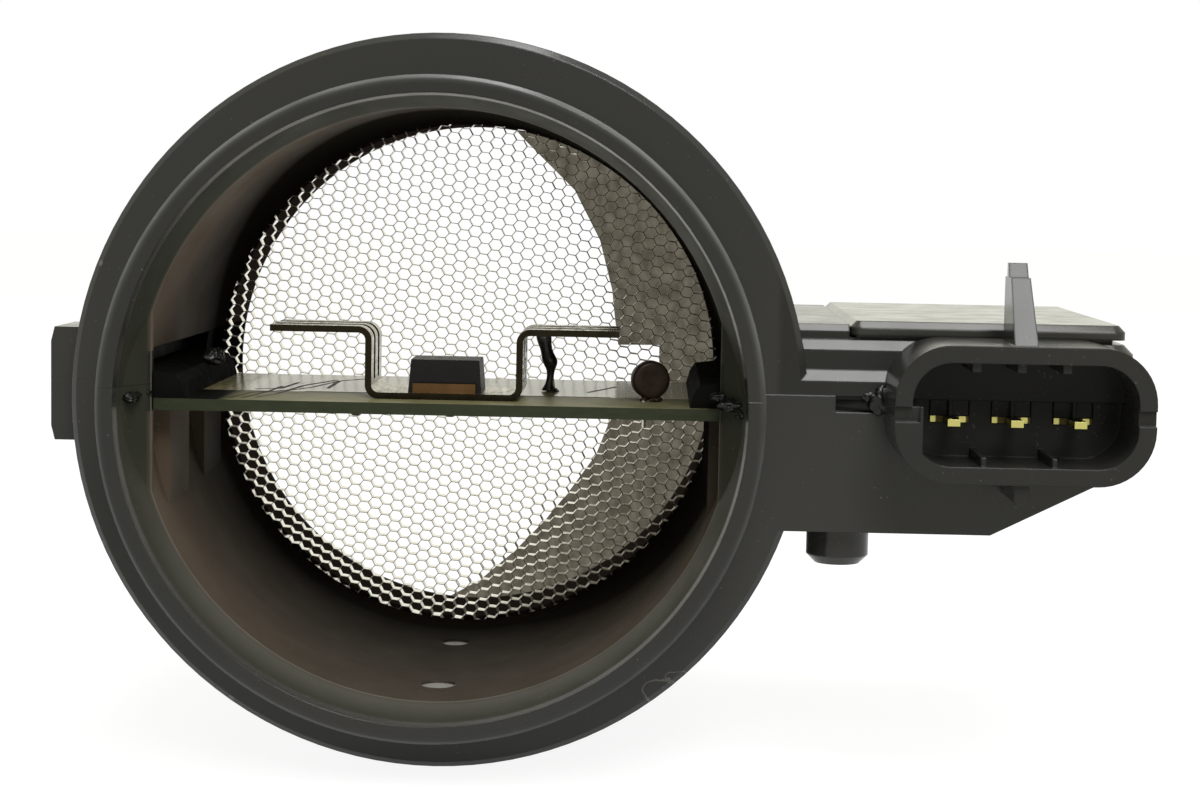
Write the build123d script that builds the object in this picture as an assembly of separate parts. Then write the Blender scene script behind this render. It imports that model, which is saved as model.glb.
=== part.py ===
from build123d import *
import os
from math import sqrt

# Mass airflow sensor of the flow-through kind: a moulded tube in two halves, a circuit board laid
# across the bore, a honeycomb screen at the inlet and an electronics box with its connector at one
# side.
# Air enters at the screen and leaves at the open rim. The bore runs along Y, with the rim at y = 0
# and the inlet at high y. The box is on the +X side and Z is up. All sizes are in millimetres.

# --- tube ---
SPIGOT_R = 44.45            # hose size at both ends: 3.5 inch outside diameter
INLET_SPIGOT_LENGTH = 13.0
BODY_STEP = 0.95            # tube stands this much proud between the flange and the inlet spigot
RIM_WIDTH = 2.38            # flat outlet rim
LIP_TAPER = 1.67            # lead-in taper from the rim to the bore
LIP_Y = 8.5                 # depth of the taper
BORE_DRAFT = 0.8            # mould draft from the taper to the screen
TUBE_LENGTH = 88.9
RIM_CHAMFER = 0.5
FLANGE_REACH = 6.15         # flange beyond the spigot
FLANGE_Y = 13.0             # front face of the flange
FLANGE_THICKNESS = 4.6
FLANGE_ROUND = 0.8
SEAM_Z = 2.4                # plane where the halves meet
BORE_KEEP_OUT = 1.0         # what is added outside ends this far inside the spigot's radius
EJECTOR_MARKS = ((19.8, 2.5), (49.5, 2.2))      # position along the bore, radius
EJECTOR_MARK_DEPTH = 0.15

# --- flats and pads inside the bore ---
LIP_FLAT_DEPTH = 1.9        # flats that thicken the lip on both sides of the seam
LIP_FLAT_HALF_HEIGHT = 13.0
LIP_FLAT_START_Y = 2.0
PAD_DEPTH = 3.0             # pads of the lower half that carry the board
PAD_LENGTH = 14.0
PAD_STARTS_Y = (16.0, 42.0)
POCKET_TOP_Z = 6.8          # relief over the board's ends in the upper half

# --- screen and its ring ---
SCREEN_Y = 68.0             # shoulder that the screen rests on
SCREEN_THICKNESS = 2.6
SCREEN_SEAT_WALL = 2.45     # wall left around the screen and its ring
SCREEN_RIM = 3.2            # solid edge of the screen
SCREEN_PITCH = 8.0          # hexagonal gaps, centre to centre
SCREEN_WEB = 0.9
RING_STEP = 0.1             # ring's bore inside the tube's
RING_CLEARANCE = 0.05

# --- circuit board ---
BOARD_THICKNESS = 1.6
BOARD_TOP_Z = 0.4
BOARD_FRONT_Y = 10.0
BOARD_BACK_Y = 55.0
BOARD_END_WALL = 2.65       # outside of the tube to the board's ends
BOARD_CLEARANCE = 0.2
BOARD_NECK_FRONT_Y = 20.0   # where the board passes through the tube's wall to the box
BOARD_BOX_GAP = 2.6         # board to box wall

# --- electronics box ---
BOX_FRONT_Y = FLANGE_Y
BOX_BACK_Y = 74.0
BOX_COVER_MARGIN = 2.65     # box beyond the cover's right edge
BOX_BOTTOM_Z = -16.4
BOX_SLOPE_X = 76.0          # where the floor starts to rise
BOX_SLOPE_RISE = 10.45
BOX_WALL = 2.4
BOX_ROOT_OVERLAP = 8.0      # box's own outline starts this far inside the spigot's radius
BOX_PARTING_WALL = 2.55     # cavity to the outside of the tube
BOX_CORNER_R = 3.0
TIER_1_TOP = 5.8            # steps of the upper half, each with a sloped shoulder
TIER_2_TOP = 9.9
PLATEAU_TOP = 12.0
TIER_STEP = 1.5
SHOULDER_1 = 1.4
SHOULDER_2 = 1.3
NOTCH_X = 54.45             # small notch in the top edge of the lower front wall
NOTCH_SIZE = (6.4, 0.9, 2.25)

# --- cover of the box ---
COVER_LEFT_X = 56.4
COVER_RIGHT_X = 94.25
COVER_FRONT_Y = 16.0
COVER_BACK_Y = 71.0
COVER_SEAT_Z = 10.2
COVER_HEIGHT = 2.3
COVER_EDGE_CHAMFER = 0.9
COVER_CORNER_R = 1.6
COVER_SKIRT = 1.6           # depth of the rib that locates the cover in its opening
COVER_CLEARANCE = 0.15
SEAL_THICKNESS = 0.3

# --- lug on the far side of the tube ---
LUG_REACH = 9.95            # beyond the spigot
LUG_TOP_Z = 9.4
LUG_BOTTOM_Z = -6.4
LUG_LENGTH = 12.0
LUG_DRAFT = 0.5
LUG_DRAFT_HEIGHT = 2.0
LUG_ROOT_OVERLAP = 3.0      # lug's own outline starts this far inside the spigot's radius

# --- locating peg under the box ---
PEG_X = 55.7
PEG_Y = 20.5
PEG_R = 4.35
PEG_LENGTH = 5.2
PEG_CHAMFER = 1.2

# --- connector shroud ---
SHROUD_X = 78.1
SHROUD_Z = 1.45
SHROUD_FRONT_Y = -2.0
SHROUD_WIDTH = 34.1
SHROUD_HEIGHT = 18.2
SHROUD_CORNER_R = 7.4
SHROUD_WALL = 2.3
SOCKET_BACK_Y = 11.0        # back wall in the lower half
SOCKET_LEDGE = 1.4          # the upper half's back wall stands this much nearer
JOINT_RECESS_DEPTH = 0.7    # shallow recess beside the seam at both ends of the shroud
JOINT_RECESS_HEIGHT = 2.0
KEY_STEP = 1.4              # lower half's left wall is this much thicker, so a plug fits one way
RIBS_X = 77.55              # middle of the ribs in the socket
ROOF_RIBS = (3, 5.9, 1.15, 1.2)         # count, pitch, width, height
FLOOR_RIBS = (2, 9.3, 0.65, 1.2)        # count, pitch, width, height
RIB_SETBACK = 0.9

# --- latch fin over the shroud and gusset under it ---
FIN_LEFT_X = 76.5           # upright side of the fin
FIN_BASE_WIDTH = 3.2
FIN_TOP_WIDTH = 2.45        # the other side leans in
FIN_HEIGHT = 8.7
FIN_FRONT_Y = -1.5
FIN_SLOPE = 6.0             # the front leans back this far
FIN_BACK_Y = 10.0
NIB_HEIGHT = 1.9
NIB_LENGTH = 1.3
NIB_RAMP = 0.7
NIB_SETBACK = 2.5           # from the front of the fin's top
GUSSET_X = 78.0
GUSSET_WIDTH = 2.0
GUSSET_HEIGHT = 3.0
GUSSET_ROUND = 0.9

# --- terminals ---
TERMINAL_COUNT = 3
TERMINAL_PITCH = 8.35
TERMINAL_MIDDLE_X = 78.0
TERMINAL_THICKNESS = 0.8
TERMINAL_Z = -0.25
BLADE_WIDTH = 1.5
BLADE_TIP_Y = 2.0
BLADE_CHAMFER = 0.3
TERMINAL_WIDTH = 5.2
TERMINAL_STANDOUT = 0.4     # wide part showing in front of the back wall
TERMINAL_CLEARANCE = 0.1
TERMINAL_PAD_LENGTH = 4.0   # foot soldered to the board
CRANK_LENGTH = 1.5
CRANK_GAP = 0.3             # crank behind the wall
TONGUE_RIB_WIDTH = 0.5

# --- heat sink and power transistor ---
SINK_X = 0.5
SINK_FRONT_Y = 15.8
SINK_DEPTH = 12.7
SINK_THICKNESS = 0.9
SINK_BASE_HALF = 10.9
SINK_WING_HALF = 24.1
SINK_HEIGHT = 10.0
SINK_BEND_R = 1.45
SINK_FINGERS = 3
SINK_FINGER_WIDTH = 3.0
SINK_SLOT_START = 1.6       # fingers start this far above the base
PACKAGE_WIDTH = 10.2
PACKAGE_LENGTH = 8.7
PACKAGE_HEIGHT = 4.5
PACKAGE_TAPER = 0.35
TAB_WIDTH = 8.7
TAB_LENGTH = 9.0
TAB_THICKNESS = 1.3
TAB_FRONT_GAP = 0.8         # tab to the front edge of the heat sink
TAB_STANDOUT = 1.2
PACKAGE_LEAD_PITCH = 5.08
PACKAGE_LEAD_WIDTH = 0.8
PACKAGE_LEAD_THICKNESS = 0.5
PACKAGE_LEAD_EXIT = 1.6     # lead's middle above the heat sink
PACKAGE_LEAD_ROOT = 1.0     # length inside the body
PACKAGE_LEAD_GAP = 0.8      # back of the heat sink to the lead's step
PACKAGE_LEAD_STEP = 0.6
PACKAGE_LEAD_FOOT = 2.0
PACKAGE_LEAD_BEND_R = 0.35

# --- disc and bead ---
DISC_INSET = 12.7           # from the board's end
DISC_Y = 20.6
DISC_R = 2.6
DISC_THICKNESS = 3.0
DISC_LEAD_R = 0.3
DISC_LEAD_INSET = 0.9
DISC_LEAD_TAIL = 2.0        # length below the board
BEAD_X = 14.9
BEAD_Y = 34.0
BEAD_LEAN = 8.0             # degrees
BEAD_TOP_R = 0.7
BEAD_BULGE_R = 1.0
BEAD_BULGE_HEIGHT = 4.0
BEAD_HEIGHT = 8.6
BEAD_LEAD_R = 0.38
BEAD_LEAD_LENGTH = 2.2

# --- sealant, solder and parts inside the box ---
SEALANT_REACH = 4.0         # over the board, from the lip flat
SEALANT_HEIGHT = 3.2
SEALANT_END_GAP = 1.6
SEALANT_SHOULDER = 1.2      # its inner edge is cut back below the top
SEALANT_SLOPES = (0.5, 1.4)
SEALANT_RISE = 0.8          # top climbs by this much towards the wall
SOLDER_R = 1.0
SOLDER_TAPER = 40.0         # degrees
SOLDER_HEIGHT = 0.5
SOLDER_SPOTS = ((-11.2, 13.0), (1.6, 14.0))
CHIP_SIZE = (7.5, 15.4, 2.3)
CHIP_POSITION = (62.0, 52.0)
CHIP_STANDOFF = 0.2
CHIP_CHAMFER = 0.3
CHIP_PINS = 8
CHIP_PIN_PITCH = 1.9
CHIP_PIN_WIDTH = 0.5
CHIP_PIN_THICKNESS = 0.25
CHIP_PIN_REACH = 1.4
CHIP_PIN_BENDS = (0.4, 0.7)
CAN_R = 3.1
CAN_HEIGHT = 5.4
CAN_BASE_SIDE = 6.6
CAN_BASE_HEIGHT = 0.8
CAN_INSET = 8.4             # from the board's end inside the box
CANS_Y = (60.0, 50.0)
RESISTOR_SIZE = (3.2, 1.6, 0.6)
RESISTOR_PITCH = 2.8
RESISTOR_COUNT = 5
RESISTOR_INSET = 14.9
RESISTOR_START_Y = 32.0

# --- aids to drawing ---
BIG = 400.0
JOIN = 1.0                  # shapes that are joined or cut run this far past each other
WIRE_SIDES = 8              # thin wires and solder are drawn with flat sides
ROUND_SIDES = 16            # and so are small round parts

# --- worked out from the above ---
BODY_R = SPIGOT_R + BODY_STEP
MOUTH_R = SPIGOT_R - RIM_WIDTH
LIP_R = MOUTH_R - LIP_TAPER
BORE_END_R = LIP_R - BORE_DRAFT
FLANGE_R = SPIGOT_R + FLANGE_REACH
LIP_FLAT_X = LIP_R - LIP_FLAT_DEPTH
PAD_FLAT_X = LIP_R - PAD_DEPTH
SCREEN_SEAT_R = SPIGOT_R - SCREEN_SEAT_WALL
RING_INNER_R = BORE_END_R - RING_STEP
BOARD_HALF_WIDTH = SPIGOT_R - BOARD_END_WALL
DISC_X = BOARD_HALF_WIDTH - DISC_INSET
BOX_INNER_X = SPIGOT_R + BOX_PARTING_WALL
BOX_ROOT_X = SPIGOT_R - BOX_ROOT_OVERLAP
BOX_RIGHT_X = COVER_RIGHT_X + BOX_COVER_MARGIN
LUG_OUTER_X = -SPIGOT_R - LUG_REACH
LUG_ROOT_X = -SPIGOT_R + LUG_ROOT_OVERLAP
BOARD_RIGHT_X = BOX_RIGHT_X - BOX_WALL - BOARD_BOX_GAP
CAN_X = BOARD_RIGHT_X - CAN_INSET
RESISTOR_X = BOARD_RIGHT_X - RESISTOR_INSET
SINK_TOP = BOARD_TOP_Z + SINK_THICKNESS
BOARD_BOTTOM_Z = BOARD_TOP_Z - BOARD_THICKNESS
BOX_INSIDE_FRONT_Y = BOX_FRONT_Y + BOX_WALL
SHROUD_TOP_Z = SHROUD_Z + SHROUD_HEIGHT / 2
SHROUD_BOTTOM_Z = SHROUD_Z - SHROUD_HEIGHT / 2
RING_START_Y = SCREEN_Y + SCREEN_THICKNESS
SLOT_OUTER_X = BOARD_HALF_WIDTH + BOARD_CLEARANCE
SLOT_FRONT_Y = BOARD_FRONT_Y - BOARD_CLEARANCE
SLOT_BACK_Y = BOARD_BACK_Y + BOARD_CLEARANCE
TAB_FRONT_Y = SINK_FRONT_Y + TAB_FRONT_GAP
PACKAGE_FRONT_Y = TAB_FRONT_Y + TAB_STANDOUT
SINK_BACK_Y = SINK_FRONT_Y + SINK_DEPTH


def block(x, y, z):
    """A box from its three ranges."""
    size = [abs(b - a) for a, b in (x, y, z)]
    middle = [(a + b) / 2 for a, b in (x, y, z)]
    return Pos(*middle) * Box(*size)


def along_y(face, start, end):
    """A face drawn in X and Z, made solid from y = start to y = end."""
    return extrude(Plane.XZ.offset(-start) * face, amount=-(end - start))


def along_x(face, start, end):
    """A face drawn in Y and Z, made solid from x = start to x = end."""
    return extrude(Plane.YZ.offset(start) * face, amount=end - start)


def round_bar(radius, start, end):
    """A cylinder on the bore's axis."""
    return along_y(Circle(radius), start, end)


def above_seam():
    return block((-BIG, BIG), (-BIG, BIG), (SEAM_Z, BIG))


def below_seam():
    return block((-BIG, BIG), (-BIG, BIG), (-BIG, SEAM_Z))


def plan_block(x, y, z, corner):
    """A box with rounded upright corners."""
    middle = ((x[0] + x[1]) / 2, (y[0] + y[1]) / 2)
    face = RectangleRounded(x[1] - x[0], y[1] - y[0], corner)
    return extrude(Plane(origin=(*middle, z[0])) * face, amount=z[1] - z[0])


def wire(x, y, low, high, radius):
    """A thin upright bar with flat sides."""
    return extrude(Pos(x, y, low) * RegularPolygon(radius, WIRE_SIDES), amount=high - low)


def terminal_xs():
    first = TERMINAL_MIDDLE_X - TERMINAL_PITCH * (TERMINAL_COUNT - 1) / 2
    return [first + i * TERMINAL_PITCH for i in range(TERMINAL_COUNT)]


def shroud_face(inset):
    face = RectangleRounded(SHROUD_WIDTH - 2 * inset, SHROUD_HEIGHT - 2 * inset, SHROUD_CORNER_R - inset)
    return Pos(SHROUD_X, SHROUD_Z) * face


# --- the tube, before it is divided into halves ---
def tube():
    flange_end = FLANGE_Y + FLANGE_THICKNESS
    body_end = TUBE_LENGTH - INLET_SPIGOT_LENGTH
    outline = [
        (MOUTH_R, 0),
        (SPIGOT_R - RIM_CHAMFER, 0),
        (SPIGOT_R, RIM_CHAMFER),
        (SPIGOT_R, FLANGE_Y),
        (FLANGE_R - FLANGE_ROUND, FLANGE_Y),
        (FLANGE_R, FLANGE_Y + FLANGE_ROUND),
        (FLANGE_R, flange_end),
        (BODY_R, flange_end),
        (BODY_R, body_end),
        (SPIGOT_R, body_end),
        (SPIGOT_R, TUBE_LENGTH),
        (SCREEN_SEAT_R, TUBE_LENGTH),
        (SCREEN_SEAT_R, SCREEN_Y),
        (BORE_END_R, SCREEN_Y),
        (LIP_R, LIP_Y),
    ]
    section = make_face(Polyline(*outline, close=True))
    body = revolve(section, Axis.Y)
    return body + lip_flats()


def inside_wall():
    """Limits what is added inside the bore to the thickness of the wall."""
    return round_bar((SPIGOT_R + SCREEN_SEAT_R) / 2, 0, SCREEN_Y)


def lip_flats():
    flats = []
    end = SLOT_FRONT_Y
    outer = SCREEN_SEAT_R + JOIN
    for side in (-1, 1):
        outline = [
            (side * outer, LIP_FLAT_START_Y),
            (side * MOUTH_R, LIP_FLAT_START_Y),
            (side * LIP_FLAT_X, LIP_Y),
            (side * LIP_FLAT_X, end),
            (side * outer, end),
        ]
        face = make_face(Polyline(*outline, close=True))
        wedge = extrude(face, amount=LIP_FLAT_HALF_HEIGHT, both=True)
        flats += [wedge & inside_wall()]
    return flats


def board_pads():
    """Flat-faced pads down both sides of the lower bore, which the board lies on."""
    drop = sqrt(SCREEN_SEAT_R**2 - PAD_FLAT_X**2)
    pads = []
    for start in PAD_STARTS_Y:
        end = min(start + PAD_LENGTH, SCREEN_Y)
        for side in (-1, 1):
            x = sorted((side * PAD_FLAT_X, side * (SCREEN_SEAT_R + JOIN)))
            pads += [block(x, (start, end), (-drop, BOARD_BOTTOM_Z)) & inside_wall()]
    return pads


def ejector_marks():
    marks = []
    for y, radius in EJECTOR_MARKS:
        share = (y - LIP_Y) / (SCREEN_Y - LIP_Y)
        wall = LIP_R + (BORE_END_R - LIP_R) * share
        marks += [Pos(0, y, -wall) * Cylinder(radius, 2 * EJECTOR_MARK_DEPTH)]
    return marks


# --- electronics box ---
def box_outline():
    slope_end = BOX_BOTTOM_Z + BOX_SLOPE_RISE
    points = [
        (BOX_ROOT_X, SEAM_Z),
        (BOX_ROOT_X, BOX_BOTTOM_Z),
        (BOX_SLOPE_X, BOX_BOTTOM_Z),
        (BOX_RIGHT_X, slope_end),
        (BOX_RIGHT_X, SEAM_Z),
    ]
    return make_face(Polyline(*points, close=True))


def cavity_outline():
    """Inside of the lower box: the outer outline, thinner by the wall all round."""
    rise = BOX_SLOPE_RISE / (BOX_RIGHT_X - BOX_SLOPE_X)
    shift = BOX_WALL * (sqrt(1 + rise**2) - 1) / rise
    floor = BOX_BOTTOM_Z + BOX_WALL
    right = BOX_RIGHT_X - BOX_WALL
    corner = floor + rise * (right - (BOX_SLOPE_X - shift))
    points = [
        (BOX_INNER_X, SEAM_Z),
        (BOX_INNER_X, floor),
        (BOX_SLOPE_X - shift, floor),
        (right, corner),
        (right, SEAM_Z),
    ]
    return make_face(Polyline(*points, close=True))


def box_footprint(inset, z):
    x = (BOX_ROOT_X, BOX_RIGHT_X - inset)
    y = (BOX_FRONT_Y + inset, BOX_BACK_Y - inset)
    return plan_block(x, y, z, BOX_CORNER_R)


def bore_keep_out():
    """The inside of the tube, which nothing outside it may fill."""
    return round_bar(SPIGOT_R - BORE_KEEP_OUT, -BIG, BIG)


def lower_box():
    box = along_y(box_outline(), BOX_FRONT_Y, BOX_BACK_Y)
    box = box & box_footprint(0, (BOX_BOTTOM_Z - JOIN, SEAM_Z))
    return box - bore_keep_out()


def lower_cavity():
    return along_y(cavity_outline(), BOX_INSIDE_FRONT_Y, BOX_BACK_Y - BOX_WALL)


def tier(inset, bottom, top, shoulder):
    body = box_footprint(inset, (bottom, top))
    top_edges = body.faces().sort_by(Axis.Z)[-1].edges()
    return chamfer(top_edges, shoulder)


def plateau():
    """The raised part of the upper half between the tube and the cover."""
    inset = 2 * TIER_STEP
    x = (BOX_ROOT_X, COVER_LEFT_X - COVER_CLEARANCE)
    y = (BOX_FRONT_Y + inset, BOX_BACK_Y - inset)
    body = block(x, y, (TIER_2_TOP, PLATEAU_TOP))
    edges = body.faces().sort_by(Axis.Z)[-1].edges().filter_by(Axis.X)
    return chamfer(edges, COVER_EDGE_CHAMFER)


def upper_box():
    box = tier(0, SEAM_Z, TIER_1_TOP, SHOULDER_1)
    box += tier(TIER_STEP, TIER_1_TOP, TIER_2_TOP, SHOULDER_2)
    box += block(
        (COVER_LEFT_X, COVER_RIGHT_X - 2 * COVER_EDGE_CHAMFER),
        (COVER_FRONT_Y + COVER_EDGE_CHAMFER, COVER_BACK_Y - COVER_EDGE_CHAMFER),
        (TIER_2_TOP - JOIN, COVER_SEAT_Z),
    )
    box += plateau()
    return box - bore_keep_out()


def cover_opening():
    """Ranges in X and Y of the opening that the cover closes."""
    x = (COVER_LEFT_X + BOX_WALL, COVER_RIGHT_X - BOX_WALL - TIER_STEP)
    y = (COVER_FRONT_Y + BOX_WALL, COVER_BACK_Y - BOX_WALL)
    return x, y


def upper_cavity():
    x, y = cover_opening()
    low = block(
        (BOX_INNER_X, BOX_RIGHT_X - BOX_WALL - TIER_STEP),
        (BOX_INSIDE_FRONT_Y + TIER_STEP, BOX_BACK_Y - BOX_WALL - TIER_STEP),
        (SEAM_Z, TIER_2_TOP - BOX_WALL),
    )
    return low + block(x, y, (SEAM_Z, COVER_SEAT_Z))


# --- connector ---
def shroud(lower):
    """The connector's sleeve for one half, with its back wall."""
    end = BOX_INSIDE_FRONT_Y if lower else COVER_FRONT_Y - COVER_CLEARANCE
    back = SOCKET_BACK_Y if lower else SOCKET_BACK_Y - SOCKET_LEDGE
    socket = along_y(shroud_face(SHROUD_WALL), SHROUD_FRONT_Y, back)
    if lower:
        socket -= key_step()
    sleeve = along_y(shroud_face(0), SHROUD_FRONT_Y, end) - socket
    return sleeve & (below_seam() if lower else above_seam())


def key_step():
    """Thickens one side of the socket in the lower half."""
    inner = SHROUD_X - SHROUD_WIDTH / 2 + SHROUD_WALL
    return block((inner - JOIN, inner + KEY_STEP), (-BIG, BIG), (-BIG, SEAM_Z))


def joint_recesses():
    """Shallow steps beside the seam at both ends of the shroud's front."""
    y = (SHROUD_FRONT_Y, SHROUD_FRONT_Y + JOINT_RECESS_DEPTH)
    z = (SEAM_Z - JOINT_RECESS_HEIGHT, SEAM_Z)
    half = SHROUD_WIDTH / 2
    reach = SHROUD_WALL + JOIN
    return [block(sorted((SHROUD_X + side * half, SHROUD_X + side * (half - reach))), y, z)
            for side in (-1, 1)]


def row(count, pitch):
    return [RIBS_X + (i - (count - 1) / 2) * pitch for i in range(count)]


def roof_ribs():
    count, pitch, width, height = ROOF_RIBS
    roof = SHROUD_TOP_Z - SHROUD_WALL
    y = (SHROUD_FRONT_Y + RIB_SETBACK, SOCKET_BACK_Y - SOCKET_LEDGE)
    return [block((x - width / 2, x + width / 2), y, (roof - height, roof))
            for x in row(count, pitch)]


def floor_ribs():
    count, pitch, width, height = FLOOR_RIBS
    floor = SHROUD_BOTTOM_Z + SHROUD_WALL
    y = (SHROUD_FRONT_Y + RIB_SETBACK, SOCKET_BACK_Y)
    return [block((x - width / 2, x + width / 2), y, (floor, floor + height))
            for x in row(count, pitch)]


def latch_fin():
    """A leaning fin on the shroud, with the nib that a plug's lock snaps behind."""
    base = SHROUD_TOP_Z - 0.5 * SHROUD_WALL
    top = SHROUD_TOP_Z + FIN_HEIGHT
    nib_top = top + NIB_HEIGHT
    top_front = FIN_FRONT_Y + FIN_SLOPE
    nib_end = top_front + NIB_SETBACK + NIB_LENGTH
    side = [
        (FIN_FRONT_Y, base),
        (top_front, top),
        (top_front + NIB_SETBACK - NIB_RAMP, top),
        (top_front + NIB_SETBACK, nib_top),
        (nib_end, nib_top),
        (nib_end, top),
        (FIN_BACK_Y, top),
        (FIN_BACK_Y, base),
    ]
    right = FIN_LEFT_X + FIN_BASE_WIDTH
    front = [
        (FIN_LEFT_X, base),
        (FIN_LEFT_X, nib_top),
        (FIN_LEFT_X + FIN_TOP_WIDTH, nib_top),
        (right, base),
    ]
    plate = along_x(make_face(Polyline(*side, close=True)), FIN_LEFT_X, right)
    return plate & along_y(make_face(Polyline(*front, close=True)), FIN_FRONT_Y, FIN_BACK_Y)


def gusset():
    """A rounded rib that ties the underside of the shroud to the box."""
    half = GUSSET_WIDTH / 2
    low = SHROUD_BOTTOM_Z - GUSSET_HEIGHT
    x = (GUSSET_X - half, GUSSET_X + half)
    rib = block(x, (SHROUD_FRONT_Y + RIB_SETBACK, BOX_FRONT_Y), (low, SHROUD_BOTTOM_Z + JOIN))
    edges = rib.edges().filter_by(Axis.Y).sort_by(Axis.Z)[:2]
    return fillet(edges, GUSSET_ROUND)


def terminal_slots():
    """Open slots in the lower back wall that the terminals are laid into."""
    half = TERMINAL_WIDTH / 2 + TERMINAL_CLEARANCE
    floor = TERMINAL_Z - TERMINAL_THICKNESS / 2
    return [block((x - half, x + half), (SOCKET_BACK_Y, BOX_INSIDE_FRONT_Y), (floor, SEAM_Z))
            for x in terminal_xs()]


def terminal_tongues():
    """Tongues of the upper half that close those slots, each with a thin rib in front."""
    half = TERMINAL_WIDTH / 2
    low = TERMINAL_Z + TERMINAL_THICKNESS / 2
    rib = TONGUE_RIB_WIDTH / 2
    ledge = SOCKET_BACK_Y - SOCKET_LEDGE
    tongues = []
    for x in terminal_xs():
        tongues += [block((x - half, x + half), (SOCKET_BACK_Y, BOX_INSIDE_FRONT_Y), (low, SEAM_Z + JOIN))]
        tongues += [block((x - rib, x + rib), (ledge, SOCKET_BACK_Y), (low, SEAM_Z + JOIN))]
    return tongues


# --- lug and peg ---
def lug():
    """A drafted block behind the flange, on the side away from the box."""
    points = [
        (LUG_ROOT_X, LUG_TOP_Z),
        (LUG_OUTER_X + LUG_DRAFT, LUG_TOP_Z),
        (LUG_OUTER_X, LUG_TOP_Z - LUG_DRAFT_HEIGHT),
        (LUG_OUTER_X, LUG_BOTTOM_Z + LUG_DRAFT_HEIGHT),
        (LUG_OUTER_X + LUG_DRAFT, LUG_BOTTOM_Z),
        (LUG_ROOT_X, LUG_BOTTOM_Z),
    ]
    start = FLANGE_Y + FLANGE_THICKNESS
    body = along_y(make_face(Polyline(*points, close=True)), start, start + LUG_LENGTH)
    return body - bore_keep_out()


def peg():
    """A locating peg with a chamfered end, under the front of the box."""
    body = Cylinder(PEG_R, PEG_LENGTH, align=(Align.CENTER, Align.CENTER, Align.MAX))
    end = body.faces().sort_by(Axis.Z)[0].edges()
    return Pos(PEG_X, PEG_Y, BOX_BOTTOM_Z) * chamfer(end, PEG_CHAMFER)


# --- housing halves ---
def board_slots():
    """Seats in the lower half for the board's two ends, open to the seam."""
    z = (BOARD_BOTTOM_Z, SEAM_Z)
    left = block((-SLOT_OUTER_X, 0), (SLOT_FRONT_Y, SLOT_BACK_Y), z)
    right = block((0, SLOT_OUTER_X), (SLOT_FRONT_Y, SLOT_BACK_Y), z)
    neck = block((0, BOX_INNER_X), (BOARD_NECK_FRONT_Y - BOARD_CLEARANCE, SLOT_BACK_Y), z)
    return left + right + neck


def pockets():
    """Reliefs over the board's ends in the upper half, which the sealant rises into."""
    return block((-SLOT_OUTER_X, SLOT_OUTER_X), (SLOT_FRONT_Y, SLOT_BACK_Y), (SEAM_Z, POCKET_TOP_Z))


def front_notch():
    width, depth, height = NOTCH_SIZE
    return block((NOTCH_X, NOTCH_X + width), (BOX_FRONT_Y, BOX_FRONT_Y + depth), (SEAM_Z - height, SEAM_Z))


def lower_housing():
    half = (tube() + lug()) & below_seam()
    half += board_pads()
    half += lower_box()
    half += shroud(lower=True) + floor_ribs() + gusset() + peg()
    half -= ejector_marks()
    half -= board_slots()
    half -= lower_cavity()
    half -= terminal_slots()
    half -= joint_recesses()
    return half - front_notch()


def upper_housing():
    half = (tube() + lug()) & above_seam()
    half += upper_box()
    half += shroud(lower=False) + roof_ribs() + latch_fin()
    half -= pockets()
    half -= upper_cavity()
    return half + terminal_tongues()


# --- cover ---
def electronics_cover():
    seat = COVER_SEAT_Z + SEAL_THICKNESS
    plate = plan_block(
        (COVER_LEFT_X, COVER_RIGHT_X),
        (COVER_FRONT_Y, COVER_BACK_Y),
        (seat, COVER_SEAT_Z + COVER_HEIGHT),
        COVER_CORNER_R,
    )
    plate = chamfer(plate.faces().sort_by(Axis.Z)[-1].edges(), COVER_EDGE_CHAMFER)
    x, y = cover_opening()
    x = (x[0] + COVER_CLEARANCE, x[1] - COVER_CLEARANCE)
    y = (y[0] + COVER_CLEARANCE, y[1] - COVER_CLEARANCE)
    skirt = block(x, y, (COVER_SEAT_Z - COVER_SKIRT, seat))
    inner_x = (x[0] + COVER_SKIRT, x[1] - COVER_SKIRT)
    inner_y = (y[0] + COVER_SKIRT, y[1] - COVER_SKIRT)
    return plate + (skirt - block(inner_x, inner_y, (COVER_SEAT_Z - COVER_SKIRT, seat)))


def cover_seal():
    """A flat bead between the cover and the rim of its opening."""
    x, y = cover_opening()
    z = (COVER_SEAT_Z, COVER_SEAT_Z + SEAL_THICKNESS)
    outer = block(
        (COVER_LEFT_X + COVER_EDGE_CHAMFER, COVER_RIGHT_X - 2 * COVER_EDGE_CHAMFER),
        (COVER_FRONT_Y + COVER_EDGE_CHAMFER, COVER_BACK_Y - COVER_EDGE_CHAMFER),
        z,
    )
    return outer - block(x, y, z)


# --- screen ---
def screen_centres(reach):
    """Centres of a hexagonal pattern inside a circle."""
    step = SCREEN_PITCH * sqrt(3) / 2
    columns = int(reach / step)
    rows = int(reach / SCREEN_PITCH) + 1
    centres = []
    for i in range(-columns, columns + 1):
        offset = SCREEN_PITCH / 2 if i % 2 else 0
        for j in range(-rows, rows + 1):
            x, z = i * step, j * SCREEN_PITCH + offset
            if sqrt(x**2 + z**2) < reach:
                centres += [(x, z)]
    return centres


def inlet_screen():
    outer = SCREEN_SEAT_R - RING_CLEARANCE
    gap_r = (SCREEN_PITCH - SCREEN_WEB) / sqrt(3)
    reach = outer - SCREEN_RIM - gap_r
    hexagon = RegularPolygon(gap_r, 6)
    gaps = [Pos(x, z) * hexagon for x, z in screen_centres(reach)]
    return along_y(Circle(outer) - gaps, SCREEN_Y, SCREEN_Y + SCREEN_THICKNESS)


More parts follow.
